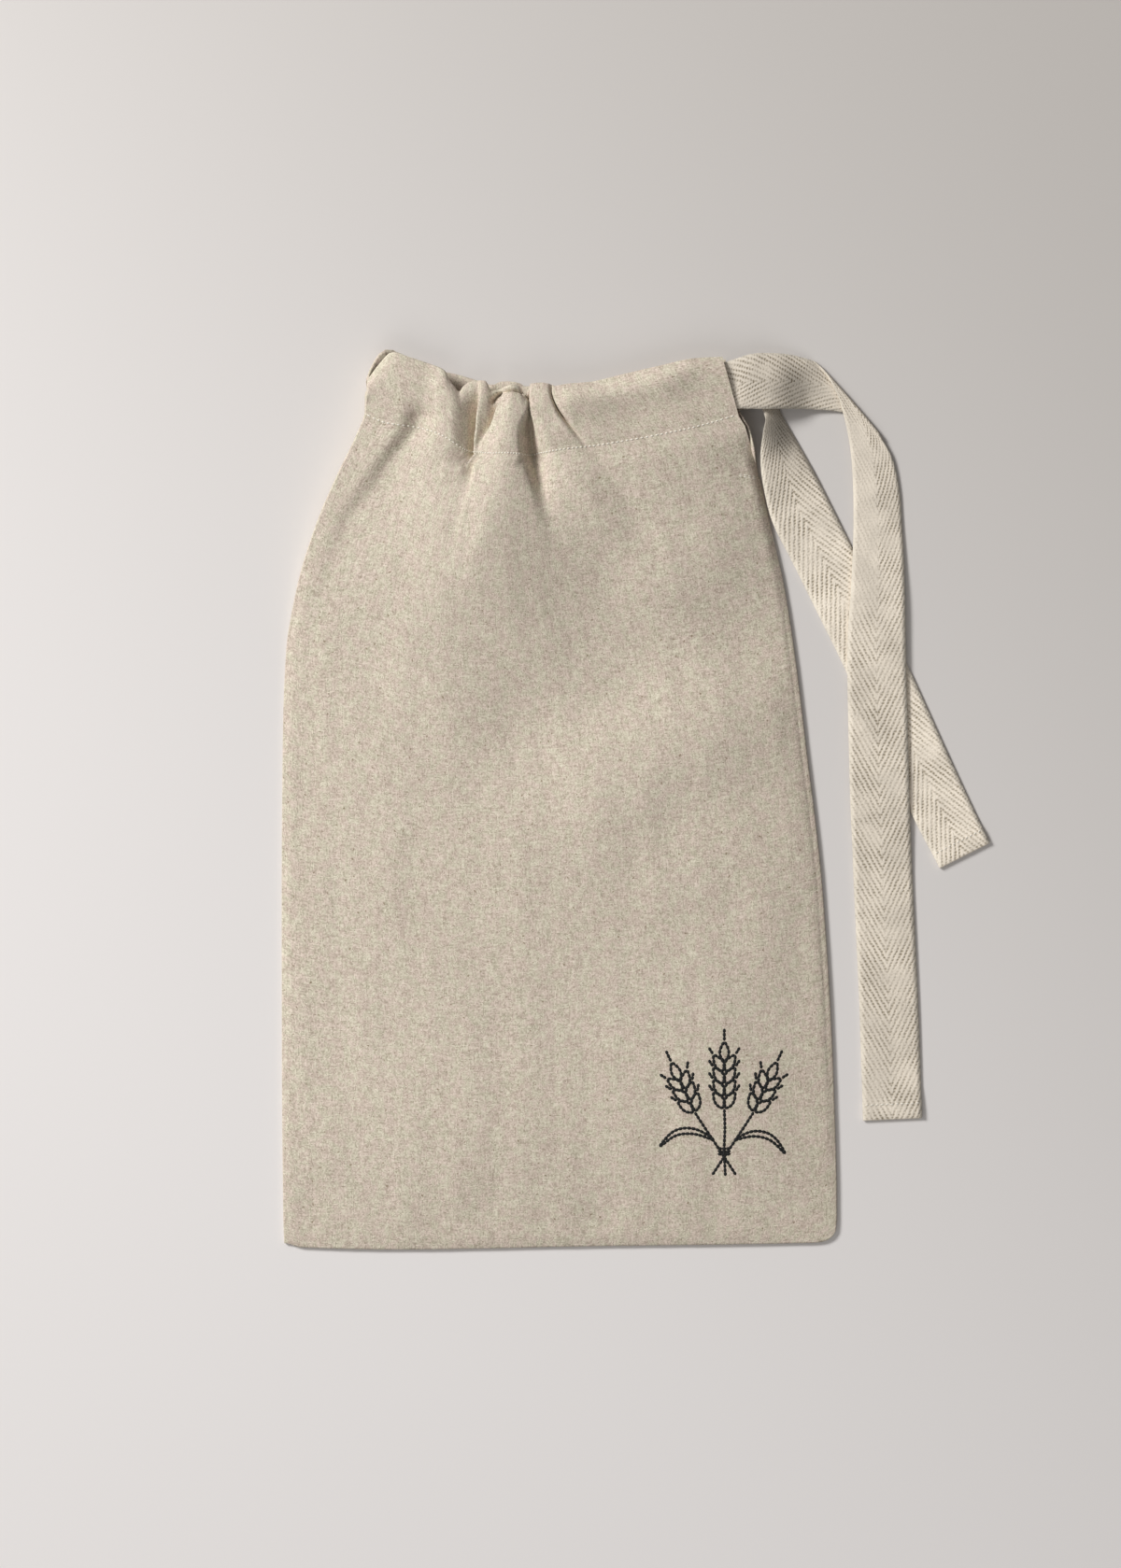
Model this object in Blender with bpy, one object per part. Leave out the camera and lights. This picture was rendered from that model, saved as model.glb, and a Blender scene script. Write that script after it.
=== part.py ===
"""Linen bread bag with a herringbone drawstring tape, lying flat with its mouth drawn in.

The bag is one cut of cloth: folded down its left side, sewn along the bottom and up the right
side, with the top edge turned inside and stitched down as a casing. A slit at the top of the
right seam lets out both ends of one tape, which runs round the whole casing.

Units are metres, +Z is up. The tables below are in millimetres and MM turns them to metres.
The origin is on the surface that the bag lies on, under the middle of its back panel.
+X points to the slit side and +Y to the mouth.
"""

import math
from collections import namedtuple

import bmesh
import bpy
from mathutils import Vector

MM = 0.001

# ---------------------------------------------------------------- driving sizes (mm)
CLOTH_THICK = 1.0  # linen, drawn a little thicker than it is
TAPE_THICK = 1.0
LAYER_GAP = 0.35  # air between layers that lie on each other
BAG_WIDTH = 250.0  # flat width between the left fold and the right seam
MOUTH_GAP = 5.4  # air between the front and back hems

LAYER_STEP = CLOTH_THICK / 2 + LAYER_GAP + TAPE_THICK / 2  # from a cloth layer to the tape
BACK_Z = CLOTH_THICK / 2  # middle of the back panel
BACK_TAPE_Z = BACK_Z + LAYER_STEP
BACK_HEM_Z = BACK_TAPE_Z + LAYER_STEP
FRONT_HEM_Z = BACK_HEM_Z + CLOTH_THICK + MOUTH_GAP
FRONT_TAPE_Z = FRONT_HEM_Z + LAYER_STEP
FRONT_Z = FRONT_TAPE_Z + LAYER_STEP  # middle of the front panel at the casing

SEAM_Z = BACK_Z + CLOTH_THICK + 0.6  # front panel where it is sewn to the back
POUCH_Z = 11.0  # middle of the front panel over the pouch
EDGE_RISE = 34.0  # how far in from an edge the front panel reaches that height
FOLD_STRETCH = 1.3  # the left fold reaches out this much more than a round one would
FOLD_REACH = 20.0  # the fold's turn fades out over this much flat cloth
FOLD_OPENS = (60.0, 172.0)  # y over which the left fold opens from sewn height to full
DRAWN_IN = (20.0, 170.0)  # y over which the cloth is drawn in towards the casing
LIFTED = 70.0  # y from which the front rises towards the casing
SLIT_FOOT_Y = 148.0  # the right seam is sewn up to here
SLIT_TOP_Y = 174.0  # the slit's front edge is at full height from here up
BACK_EDGE_OUT = 2.0  # the back panel's slit edge shows past the front one
BACK_EDGE_FROM = 0.8  # from this share of the width
BACK_EDGE_EASE = 12.0  # and over this length above the slit's foot

# ---------------------------------------------------------------- tables (mm)
# Side outline of the bag, from the bottom up to the rim.
Outline = namedtuple("Outline", "y left_x right_x")
OUTLINE = (
    Outline(-200.0, -124.8, 123.0),
    Outline(-190.0, -125.2, 125.6),
    Outline(-120.0, -125.8, 124.3),
    Outline(-40.0, -125.9, 119.6),
    Outline(30.0, -125.4, 111.6),
    Outline(68.0, -124.0, 106.9),
    Outline(98.0, -119.0, 102.2),
    Outline(127.0, -110.0, 95.7),
    Outline(150.0, -100.0, 90.4),
    Outline(166.0, -92.2, 85.6),
    Outline(177.0, -88.0, 82.0),
    Outline(188.0, -86.4, 78.6),
    Outline(205.0, -77.2, 73.6),
)

# Bottom edge: it dips a little on the left, and its right corner is rounded.
Bottom = namedtuple("Bottom", "flat y")
BOTTOM = (
    Bottom(0.0, -199.6),
    Bottom(8.0, -201.4),
    Bottom(50.0, -202.4),
    Bottom(140.0, -200.9),
    Bottom(240.0, -199.2),
    Bottom(246.0, -198.0),
    Bottom(250.0, -194.2),
)

# The casing, gathered from BAG_WIDTH to about 160 mm. A row for each ridge or valley, left
# fold to slit: where it lies in the flat cloth, its place on the rim and on the stitch line,
# the back panel's rim there, its height over the tape, and how far it runs down the bag.
Gather = namedtuple("Gather", "name flat rim_x rim_y stitch_x stitch_y back_rim_y height run")
GATHER = (
    Gather("left fold", 0.0, -77.2, 204.7, -88.0, 176.5, 204.7, 0.0, 60.0),
    Gather("left flat", 12.0, -67.0, 201.6, -76.0, 171.0, 204.6, 2.6, 70.0),
    Gather("left valley", 28.0, -56.0, 198.2, -62.0, 169.2, 202.6, 0.4, 60.0),
    Gather("left pleat", 40.0, -51.0, 195.6, -55.0, 166.6, 199.4, 3.0, 30.0),
    Gather("notch valley", 54.0, -44.8, 186.4, -45.0, 160.6, 196.6, 0.0, 26.0),
    Gather("small pleat", 70.0, -36.6, 191.4, -39.0, 158.4, 193.4, 3.4, 40.0),
    Gather("tuck valley", 86.0, -29.6, 187.4, -33.0, 157.6, 191.6, 0.6, 30.0),
    Gather("tall ridge", 103.0, -21.4, 189.6, -24.0, 157.4, 192.2, 4.8, 90.0),
    Gather("deep valley", 122.0, -15.6, 185.2, -14.6, 157.2, 190.4, 0.0, 60.0),
    Gather("round ridge", 140.0, -8.0, 190.0, -7.0, 158.0, 190.2, 4.6, 70.0),
    Gather("crease", 156.0, -1.0, 189.8, 3.0, 159.4, 190.4, 1.2, 60.0),
    Gather("right rise", 170.0, 9.0, 190.6, 14.0, 160.8, 190.8, 3.0, 60.0),
    Gather("right flat", 196.0, 32.0, 194.6, 37.0, 164.4, 194.4, 1.2, 50.0),
    Gather("right swell", 222.0, 53.0, 200.0, 59.0, 168.8, 199.6, 2.2, 50.0),
    Gather("slit edge", 250.0, 73.8, 202.2, 81.2, 175.4, 202.0, 0.0, 30.0),
)

# Soft swells of the front panel over the pouch: centre, reach to each side, and rise.
Swell = namedtuple("Swell", "name x y reach_x reach_y rise")
SWELLS = (
    Swell("upper left", -70.0, 108.0, 44.0, 60.0, 1.8),
    Swell("middle right", 58.0, 52.0, 52.0, 34.0, 1.4),
    Swell("middle left", -64.0, -20.0, 60.0, 80.0, 1.2),
    Swell("lower right", 66.0, -92.0, 44.0, 60.0, 1.0),
    Swell("foot", -16.0, -150.0, 70.0, 26.0, 1.3),
)

# The tape outside the casing. A row for each section: its upper and its lower edge, named as
# they lie inside the casing, and how high its middle stands over the line between them.
Across = namedtuple("Across", "name upper_x upper_y upper_z lower_x lower_y lower_z crown")
FRONT_END = (
    Across("over the slit", 89.0, 203.2, 10.8, 92.0, 179.4, 10.6, 0.6),
    Across("starts down", 101.0, 203.8, 10.4, 106.0, 179.6, 9.8, 0.8),
    Across("sloping", 111.0, 202.4, 6.6, 121.0, 179.0, 4.6, 0.0),
    Across("under the turn", 114.8, 202.0, 3.4, 134.0, 170.6, 1.6, 0.0),
)
FRONT_TURN = (("start of turn", 121.8, 196.2), ("end of turn", 155.0, 147.4))
FRONT_TURN_LOW_Z = 0.9
FRONT_TURN_RADIUS = 1.9
FRONT_TURN_BOW = 3.6  # the turn line bows outwards
FRONT_TURN_SLIP = 5.5  # the tape meets the turn at a slant, so it slips along the turn line
FRONT_TAIL = (
    Across("leaves the turn", 127.0, 184.6, 5.0, 156.4, 127.0, 4.4, 0.0),
    Across("turning", 129.8, 172.0, 5.0, 156.4, 112.0, 3.6, 0.4),
    Across("hanging straight", 133.2, 152.0, 4.6, 157.0, 96.0, 3.2, 0.4),
    Across("meets the other end", 132.8, 116.0, 3.0, 157.4, 80.0, 3.0, 0.2),
    Across("over the other end", 131.2, 60.0, 3.0, 158.2, 54.0, 3.0, 0.0),
    Across("past the other end", 133.0, 0.0, 2.6, 159.8, -3.0, 2.8, 0.0),
    Across("stepping down", 133.8, -22.0, 1.2, 160.2, -24.0, 1.2, 0.0),
    Across("on the surface", 134.4, -44.0, 0.5, 161.0, -45.0, 0.5, 0.0),
    Across("lying", 136.6, -92.0, 0.5, 163.4, -93.0, 0.5, 0.0),
    Across("front end hem", 138.2, -143.4, 0.5, 165.0, -142.2, 0.5, 0.0),
)
BACK_TAIL = (
    Across("leaves the rear casing", 86.6, 200.0, 2.2, 88.6, 178.4, 2.4, 0.4),
    Across("bends down", 93.2, 194.6, 2.4, 90.6, 172.6, 4.4, 2.2),
    Across("tented", 98.4, 183.0, 1.4, 92.4, 165.0, 6.0, 2.4),
    Across("leans on the slit", 104.8, 167.2, 0.6, 93.6, 155.2, 6.4, 1.6),
    Across("past the slit foot", 116.4, 148.4, 0.5, 95.8, 141.4, 4.2, 0.8),
    Across("falling flat", 129.4, 121.6, 0.5, 101.2, 121.2, 1.2, 0.0),
    Across("flat", 143.2, 92.4, 0.5, 118.6, 82.4, 0.5, 0.0),
    Across("under the other end", 158.2, 61.6, 0.5, 133.8, 52.0, 0.5, 0.0),
    Across("lying", 180.0, 15.6, 0.5, 155.8, 4.6, 0.5, 0.0),
    Across("back end hem", 195.4, -17.2, 0.5, 172.8, -28.6, 0.5, 0.0),
)

# ---------------------------------------------------------------- mesh density
FRONT_COLUMNS = 38  # columns of cloth across the front, and as many across the back
FOLD_STEPS = 6  # facets round the left fold
POUCH_ROWS = 15  # rows from the bottom to the stitch line
CASING_STATIONS = (0.0, 0.15, 0.52, 0.88, 1.0)  # rows of the casing, as shares of its depth
TAPE_STATIONS = (0.88, 0.52, 0.18)  # the tape's upper edge, middle and lower edge in there
HAIRPIN_STEPS = 3  # facets over the rim
RIM_RADIUS = 1.3  # how far the rim's turn reaches in plan
TAPE_STEPS = 3  # mesh rows between two rows of a tape table
TURN_STEPS = 5  # mesh rows round the tape's turn
MERGE_DISTANCE = 0.00001  # metres


def smooth(value):
    """Ease a value from 0 to 1, flat at both ends."""
    value = min(1.0, max(0.0, value))
    return value * value * (3.0 - 2.0 * value)


def ease(value, start, end):
    """Ease from 0 at start to 1 at end."""
    return smooth((value - start) / (end - start))


def mix(low, high, share):
    """Blend two numbers."""
    return low + (high - low) * share


def column(table, name):
    """One named column of a table, as a list."""
    return [getattr(row, name) for row in table]


def read_curve(places, values, place):
    """Read a smooth curve through a table's values (monotone cubic, no overshoot)."""
    if place <= places[0]:
        return values[0]
    if place >= places[-1]:
        return values[-1]
    after = next(i for i, value in enumerate(places) if value > place)
    low = after - 1
    step = places[after] - places[low]
    share = (place - places[low]) / step
    slopes = [curve_slope(places, values, i) * step for i in (low, after)]
    rise = values[after] - values[low]
    return (
        values[low]
        + slopes[0] * share
        + (3.0 * rise - 2.0 * slopes[0] - slopes[1]) * share**2
        + (slopes[0] + slopes[1] - 2.0 * rise) * share**3
    )


def curve_slope(places, values, i):
    """Slope of the curve at a table row, zero at ends and at turning points."""
    if i in (0, len(places) - 1):
        return 0.0
    before = (values[i] - values[i - 1]) / (places[i] - places[i - 1])
    after = (values[i + 1] - values[i]) / (places[i + 1] - places[i])
    if before * after <= 0.0:
        return 0.0
    return 2.0 * before * after / (before + after)


def gather(name, flat):
    """A value of the casing table at a place in the flat cloth."""
    return read_curve(column(GATHER, "flat"), column(GATHER, name), flat)


def side_x(side, y):
    """Outline of the bag at a height y, on its left or right."""
    return read_curve(column(OUTLINE, "y"), column(OUTLINE, side), y)


def bottom_y(flat):
    """The bottom edge's y at a place across the flat cloth."""
    return read_curve(column(BOTTOM, "flat"), column(BOTTOM, "y"), flat)


def fold_height(y):
    """Height of the front panel over the left fold: the fold opens towards the casing."""
    return mix(SEAM_Z, FRONT_Z, ease(y, *FOLD_OPENS))


def slit_height(y):
    """Height of the front panel's right edge: sewn down below the slit, lifted along it."""
    return mix(SEAM_Z, FRONT_Z, ease(y, SLIT_FOOT_Y, SLIT_TOP_Y))


def panel_place(flat, up):
    """Plan position on the panels below the stitch line; up runs from 0 (bottom) to 1."""
    y = mix(bottom_y(flat), gather("stitch_y", flat), up)
    left, right = side_x("left_x", y), side_x("right_x", y)
    flat_share = flat / BAG_WIDTH
    drawn_share = (gather("stitch_x", flat) - gather("stitch_x", 0.0)) / (
        gather("stitch_x", BAG_WIDTH) - gather("stitch_x", 0.0)
    )
    return mix(left, right, mix(flat_share, drawn_share, ease(y, *DRAWN_IN))), y


def edge_rise(distance):
    """Share of its full height that the front panel has at a distance from an edge."""
    return math.sin(0.5 * math.pi * min(1.0, distance / EDGE_RISE))


def front_height(flat, up):
    """Height of the front panel's middle below the stitch line."""
    x, y = panel_place(flat, up)
    stitch_y = gather("stitch_y", flat)
    crown = mix(POUCH_Z, FRONT_Z, ease(y, LIFTED, stitch_y)) + swell_height(x, y)
    side = mix(slit_height(y), crown, edge_rise(side_x("right_x", y) - x))
    side = mix(fold_height(y), side, edge_rise(x - side_x("left_x", y)))
    fade = 1.0 - smooth((stitch_y - y) / gather("run", flat))
    return mix(SEAM_Z, side, edge_rise(y - bottom_y(flat))) + gather("height", flat) * fade


def swell_height(x, y):
    """Rise of the front panel's soft swells at a place."""
    total = 0.0
    for swell in SWELLS:
        away = math.hypot((x - swell.x) / swell.reach_x, (y - swell.y) / swell.reach_y)
        total += swell.rise * (1.0 - smooth(away))
    return total


class Section:
    """One column of the cloth, as points from the bottom to the rim and down the hem."""

    def __init__(self, flat, turn):
        """flat: place across the flat panel. turn: 1 on the front, 0 on the back."""
        self.flat = flat
        self.turn = turn
        self.points = self.panel() + self.casing() + self.hairpin() + self.hem()

    def layer_height(self, front, back):
        """Height on this column, round the left fold from the back to the front."""
        return mix(back, front, 0.5 - 0.5 * math.cos(math.pi * self.turn))

    def fold_out(self, front, back):
        """How far this column stands left of the fold's centre line."""
        return FOLD_STRETCH * 0.5 * (front - back) * math.sin(math.pi * self.turn)

    def point(self, x, y, front, back):
        """A point of one layer, swung round the left fold where the column is part of it."""
        centre = FOLD_STRETCH * 0.5 * (FRONT_Z - BACK_Z) * self.fold_inset(y)
        x += centre - self.fold_out(front, back)
        return Vector((x, y, self.layer_height(front, back)))

    def fold_inset(self, y):
        """Share of the fold's full radius that it has at a height y, fading across the panel."""
        near = 1.0 - smooth(self.flat / FOLD_REACH)
        return near * (fold_height(y) - BACK_Z) / (FRONT_Z - BACK_Z)

    def edge_shift(self, y):
        """The back panel's slit edge shows past the front one."""
        near = ease(self.flat / BAG_WIDTH, BACK_EDGE_FROM, 1.0)
        above_foot = smooth((y - SLIT_FOOT_Y) / BACK_EDGE_EASE)
        return (1.0 - self.turn) * BACK_EDGE_OUT * near * above_foot

    def panel(self):
        """Rows from the bottom to just under the stitch line."""
        rows = []
        for row in range(POUCH_ROWS):
            up = row / POUCH_ROWS
            x, y = panel_place(self.flat, up)
            rows.append(self.point(x + self.edge_shift(y), y, front_height(self.flat, up), BACK_Z))
        return rows

    def casing_place(self, up):
        """Plan position on the casing; up runs from the stitch line to the start of the rim."""
        rim_x, stitch_x = gather("rim_x", self.flat), gather("stitch_x", self.flat)
        stitch_y = gather("stitch_y", self.flat)
        rim_y = mix(gather("back_rim_y", self.flat), gather("rim_y", self.flat), self.turn) - RIM_RADIUS
        y = mix(stitch_y, rim_y, up)
        bow = side_x("left_x", y) - mix(side_x("left_x", stitch_y), side_x("left_x", rim_y), up)
        near = 1.0 - smooth(self.flat / FOLD_REACH)
        return mix(stitch_x, rim_x, up) + bow * near + self.edge_shift(y), y

    def layer_row(self, up, front, back):
        """A point of a layer in the casing, on straight lines between the casing's stations."""
        high = next(station for station in CASING_STATIONS[1:] if station >= up)
        low = CASING_STATIONS[CASING_STATIONS.index(high) - 1]
        ends = [self.point(*self.casing_place(station), front, back) for station in (low, high)]
        return ends[0].lerp(ends[1], (up - low) / (high - low))

    def casing(self):
        """Rows of the outer cloth from the stitch line to the start of the rim's turn."""
        front = FRONT_Z + gather("height", self.flat)
        return [self.layer_row(up, front, BACK_Z) for up in CASING_STATIONS]

    def hairpin(self):
        """Rows over the rim, from the outer cloth to the hem."""
        rows = []
        x, y = self.casing_place(1.0)
        for step in range(1, HAIRPIN_STEPS):
            angle = math.pi * step / HAIRPIN_STEPS
            inward = 0.5 - 0.5 * math.cos(angle)
            front = mix(FRONT_Z + gather("height", self.flat), FRONT_HEM_Z, inward)
            back = mix(BACK_Z, BACK_HEM_Z, inward)
            rows.append(self.point(x, y + RIM_RADIUS * math.sin(angle), front, back))
        return rows

    def hem(self):
        """Rows of the hem, from the rim down to its step out to the stitch line."""
        return [self.layer_row(up, FRONT_HEM_Z, BACK_HEM_Z) for up in reversed(CASING_STATIONS[1:])]

    def tape_row(self):
        """The tape's row between the outer cloth and the hem."""
        return TapeRow(*(self.layer_row(up, FRONT_TAPE_Z, BACK_TAPE_Z) for up in TAPE_STATIONS))


def cloth_sections():
    """All columns: across the front from the slit, round the left fold, across the back."""
    flats = [BAG_WIDTH * i / FRONT_COLUMNS for i in range(FRONT_COLUMNS + 1)]
    front = [Section(flat, 1.0) for flat in reversed(flats)]
    fold = [Section(0.0, 1.0 - step / FOLD_STEPS) for step in range(1, FOLD_STEPS)]
    back = [Section(flat, 0.0) for flat in flats]
    return front + fold + back


def add_bag_faces(mesh, grid, sewn_rows):
    """Skin the columns, close the right seam up to the slit, and close the bottom edge."""
    for near, far in zip(grid, grid[1:]):
        for low in range(len(near) - 1):
            mesh.faces.new((near[low], near[low + 1], far[low + 1], far[low]))
        mesh.faces.new((near[-1], near[POUCH_ROWS], far[POUCH_ROWS], far[-1]))
    first, last = grid[0], grid[-1]
    for low in range(sewn_rows - 1):
        mesh.faces.new((last[low], last[low + 1], first[low + 1], first[low]))
    for i in range(FRONT_COLUMNS):
        facing = len(grid) - 1 - i
        mesh.faces.new((grid[i][0], grid[i + 1][0], grid[facing - 1][0], grid[facing][0]))
    mesh.faces.new([grid[i][0] for i in range(FRONT_COLUMNS, FRONT_COLUMNS + FOLD_STEPS + 1)])


def new_object(name, mesh, material):
    """Put a bmesh into the scene as an object with one material."""
    data = bpy.data.meshes.new(name)
    mesh.to_mesh(data)
    mesh.free()
    data.materials.append(material)
    thing = bpy.data.objects.new(name, data)
    bpy.context.scene.collection.objects.link(thing)
    return thing


def add_thickness(thing, thickness, mode):
    """Give a sheet its thickness, half to each side."""
    solidify = thing.modifiers.new("Thickness", "SOLIDIFY")
    solidify.solidify_mode = mode
    solidify.thickness = thickness * MM
    solidify.offset = 0.0
    if mode == "NON_MANIFOLD":
        solidify.nonmanifold_thickness_mode = "CONSTRAINTS"
        solidify.nonmanifold_merge_threshold = MERGE_DISTANCE


def make_bag(material):
    """The bag's cloth as one closed solid."""
    mesh = bmesh.new()
    sections = cloth_sections()
    grid = [[mesh.verts.new(point * MM) for point in section.points] for section in sections]
    sewn_rows = sum(1 for point in sections[0].points[:POUCH_ROWS] if point.y <= SLIT_FOOT_Y)
    add_bag_faces(mesh, grid, sewn_rows)
    bmesh.ops.recalc_face_normals(mesh, faces=mesh.faces)
    bag = new_object("linen_bag", mesh, material)
    add_thickness(bag, CLOTH_THICK, "NON_MANIFOLD")
    return bag


class TapeRow:
    """One line across the tape: its upper edge, its middle and its lower edge."""

    def __init__(self, upper, middle, lower):
        """upper, middle, lower: Vectors."""
        self.points = (upper, middle, lower)


def table_rows(table):
    """A TapeRow for each row of a tape table."""
    rows = []
    for row in table:
        upper = Vector((row.upper_x, row.upper_y, row.upper_z))
        lower = Vector((row.lower_x, row.lower_y, row.lower_z))
        rows.append(TapeRow(upper, upper.lerp(lower, 0.5) + Vector((0.0, 0.0, row.crown)), lower))
    return rows


def spline(before, start, end, after, share):
    """Catmull-Rom blend of four numbers or vectors."""
    bend = start * 2.0 + (end - before) * share
    bend += (before * 2.0 - start * 5.0 + end * 4.0 - after) * share**2
    bend += (start * 3.0 - before - end * 3.0 + after) * share**3
    return bend * 0.5


def smooth_rows(rows):
    """Rows read off smooth curves through the edges and middles of the given rows."""
    dense = []
    for i in range(len(rows) - 1):
        four = (rows[max(i - 1, 0)], rows[i], rows[i + 1], rows[min(i + 2, len(rows) - 1)])
        for step in range(TAPE_STEPS):
            points = [spline(*near, step / TAPE_STEPS) for near in zip(*(row.points for row in four))]
            for point in points:
                point.z = max(point.z, TAPE_THICK / 2)
            dense.append(TapeRow(*points))
    return dense + [rows[-1]]


def turn_rows():
    """The front end turned over on itself: rows parallel to the slanting turn line."""
    start, end = (Vector((x, y, 0.0)) for name, x, y in FRONT_TURN)
    along = (end - start).normalized()
    outward = Vector((-along.y, along.x, 0.0))
    rows = []
    for step in range(TURN_STEPS):
        angle = math.pi * (step / (TURN_STEPS - 1) - 0.5)
        shift = outward * (math.cos(angle) - 1.0) * FRONT_TURN_RADIUS
        shift.z = FRONT_TURN_LOW_Z + FRONT_TURN_RADIUS * (1.0 + math.sin(angle))
        shift += along * FRONT_TURN_SLIP * math.sin(angle)
        middle = start.lerp(end, 0.5) + outward * FRONT_TURN_BOW
        rows.append(TapeRow(start + shift, middle + shift, end + shift))
    return rows


def tape_rows():
    """All rows of the tape, from its front end through the casing to its back end."""
    inside = [section.tape_row() for section in cloth_sections()]
    turn = turn_rows()
    front_out = smooth_rows([inside[1], inside[0]] + table_rows(FRONT_END) + turn[:1])
    front_down = smooth_rows(turn[-1:] + table_rows(FRONT_TAIL))
    back_out = smooth_rows([inside[-2], inside[-1]] + table_rows(BACK_TAIL))
    front = front_out[TAPE_STEPS + 1:-1] + turn[:-1] + front_down
    return list(reversed(front)) + inside + back_out[TAPE_STEPS + 1:]


def make_tape(material):
    """The drawstring as one closed solid."""
    mesh = bmesh.new()
    grid = [[mesh.verts.new(point * MM) for point in row.points] for row in tape_rows()]
    for near, far in zip(grid, grid[1:]):
        for i in range(len(near) - 1):
            mesh.faces.new((near[i], near[i + 1], far[i + 1], far[i]))
    bmesh.ops.recalc_face_normals(mesh, faces=mesh.faces)
    tape = new_object("drawstring_tape", mesh, material)
    add_thickness(tape, TAPE_THICK, "EXTRUDE")
    return tape


def linen_material(name, colour, roughness):
    """A plain woven finish."""
    material = bpy.data.materials.new(name)
    material.use_nodes = True
    shader = material.node_tree.nodes["Principled BSDF"]
    shader.inputs["Base Color"].default_value = (*colour, 1.0)
    shader.inputs["Roughness"].default_value = roughness
    shader.inputs["Metallic"].default_value = 0.0
    return material


def main():
    """Clear the scene and build both pieces."""
    for thing in list(bpy.data.objects):
        bpy.data.objects.remove(thing, do_unlink=True)
    make_bag(linen_material("Linen", (0.58, 0.53, 0.43), 0.9))
    make_tape(linen_material("Herringbone tape", (0.62, 0.57, 0.48), 0.85))


main()
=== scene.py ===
"""Visual model of a linen bread bag with a herringbone drawstring tape, lying flat.

The bag is one cut of linen: folded down its left side, sewn along the bottom and up the right,
its top turned inside and stitched down as a casing. A slit at the top of the right seam lets out
both ends of one woven tape. Sizes in the tables are millimetres, in the frame of the CAD model:
the origin is on the surface under the middle of the back panel, +X is the slit side and +Y the
mouth. MM turns them to metres.
"""

import bisect
import logging
import math
from dataclasses import dataclass
from enum import Enum
from functools import partial
from typing import Any, Callable, NamedTuple, Sequence

import bmesh
import bpy
from bmesh.types import BMEdge, BMesh, BMVert
from bpy.types import Material, Node, NodeSocket, NodeTree, Object
from mathutils import Matrix, Vector, noise
from mathutils.bvhtree import BVHTree


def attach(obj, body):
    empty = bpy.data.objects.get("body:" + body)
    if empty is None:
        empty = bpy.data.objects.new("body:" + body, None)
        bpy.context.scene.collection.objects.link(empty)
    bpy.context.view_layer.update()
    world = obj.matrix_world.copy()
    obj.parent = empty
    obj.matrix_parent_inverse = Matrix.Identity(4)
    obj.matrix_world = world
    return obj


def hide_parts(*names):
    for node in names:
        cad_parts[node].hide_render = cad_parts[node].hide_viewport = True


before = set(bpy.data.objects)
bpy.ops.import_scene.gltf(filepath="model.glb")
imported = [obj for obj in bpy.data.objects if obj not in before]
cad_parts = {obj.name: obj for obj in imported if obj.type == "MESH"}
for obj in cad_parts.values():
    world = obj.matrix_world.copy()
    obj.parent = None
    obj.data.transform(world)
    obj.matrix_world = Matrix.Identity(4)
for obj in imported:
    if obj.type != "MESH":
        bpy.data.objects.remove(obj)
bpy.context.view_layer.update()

MM = 0.001
log = logging.getLogger("bread_bag")

Pair = tuple[float, float]
Rows = list[list[Vector]]


# -------- small maths
def smooth(value: float) -> float:
    """Ease a value from 0 to 1, flat at both ends."""
    value = min(1.0, max(0.0, value))
    return value * value * (3.0 - 2.0 * value)


def ease(value: float, start: float, end: float) -> float:
    """Ease from 0 at start to 1 at end."""
    return smooth((value - start) / (end - start))


def mix(low: float, high: float, share: float) -> float:
    """Blend two numbers."""
    return low + (high - low) * share


def ripple(x: float, y: float, size: float, seed: float) -> float:
    """Read smooth noise from -1 to 1 over a plan in mm, with features about size mm across."""
    return noise.noise(Vector((x / size, y / size, seed)))


class Curve:
    """A smooth curve through table values: monotone cubic pieces that never overshoot."""

    def __init__(self, places: Sequence[float], values: Sequence[float]) -> None:
        """Work out the slopes at the table's rows.

        Args:
            places: where the values stand, rising.
            values: one value for each place.
        """
        self.places = list(places)
        self.values = list(values)
        self.slopes = [self._slope(i) for i in range(len(self.places))]

    def _slope(self, i: int) -> float:
        """Work out the slope at a row: zero at the ends and at turning points.

        Args:
            i: the row's number.

        Returns:
            The slope there.
        """
        if i in (0, len(self.places) - 1):
            return 0.0
        x, y = self.places, self.values
        before = (y[i] - y[i - 1]) / (x[i] - x[i - 1])
        after = (y[i + 1] - y[i]) / (x[i + 1] - x[i])
        return 2.0 * before * after / (before + after) if before * after > 0.0 else 0.0

    def __call__(self, place: float) -> float:
        """Read the curve.

        Args:
            place: where to read it.

        Returns:
            The value there, held constant past both ends.
        """
        if place <= self.places[0]:
            return self.values[0]
        if place >= self.places[-1]:
            return self.values[-1]
        high = bisect.bisect_right(self.places, place)
        low = high - 1
        step = self.places[high] - self.places[low]
        share = (place - self.places[low]) / step
        start, end = self.slopes[low] * step, self.slopes[high] * step
        rise = self.values[high] - self.values[low]
        bend = 3.0 * rise - 2.0 * start - end
        return self.values[low] + share * (start + share * (bend + share * (start + end - 2.0 * rise)))


def table_curve(table: Sequence[NamedTuple], place: str, value: str) -> Curve:
    """Draw a curve through two named columns of a table."""
    return Curve([getattr(row, place) for row in table], [getattr(row, value) for row in table])


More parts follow.
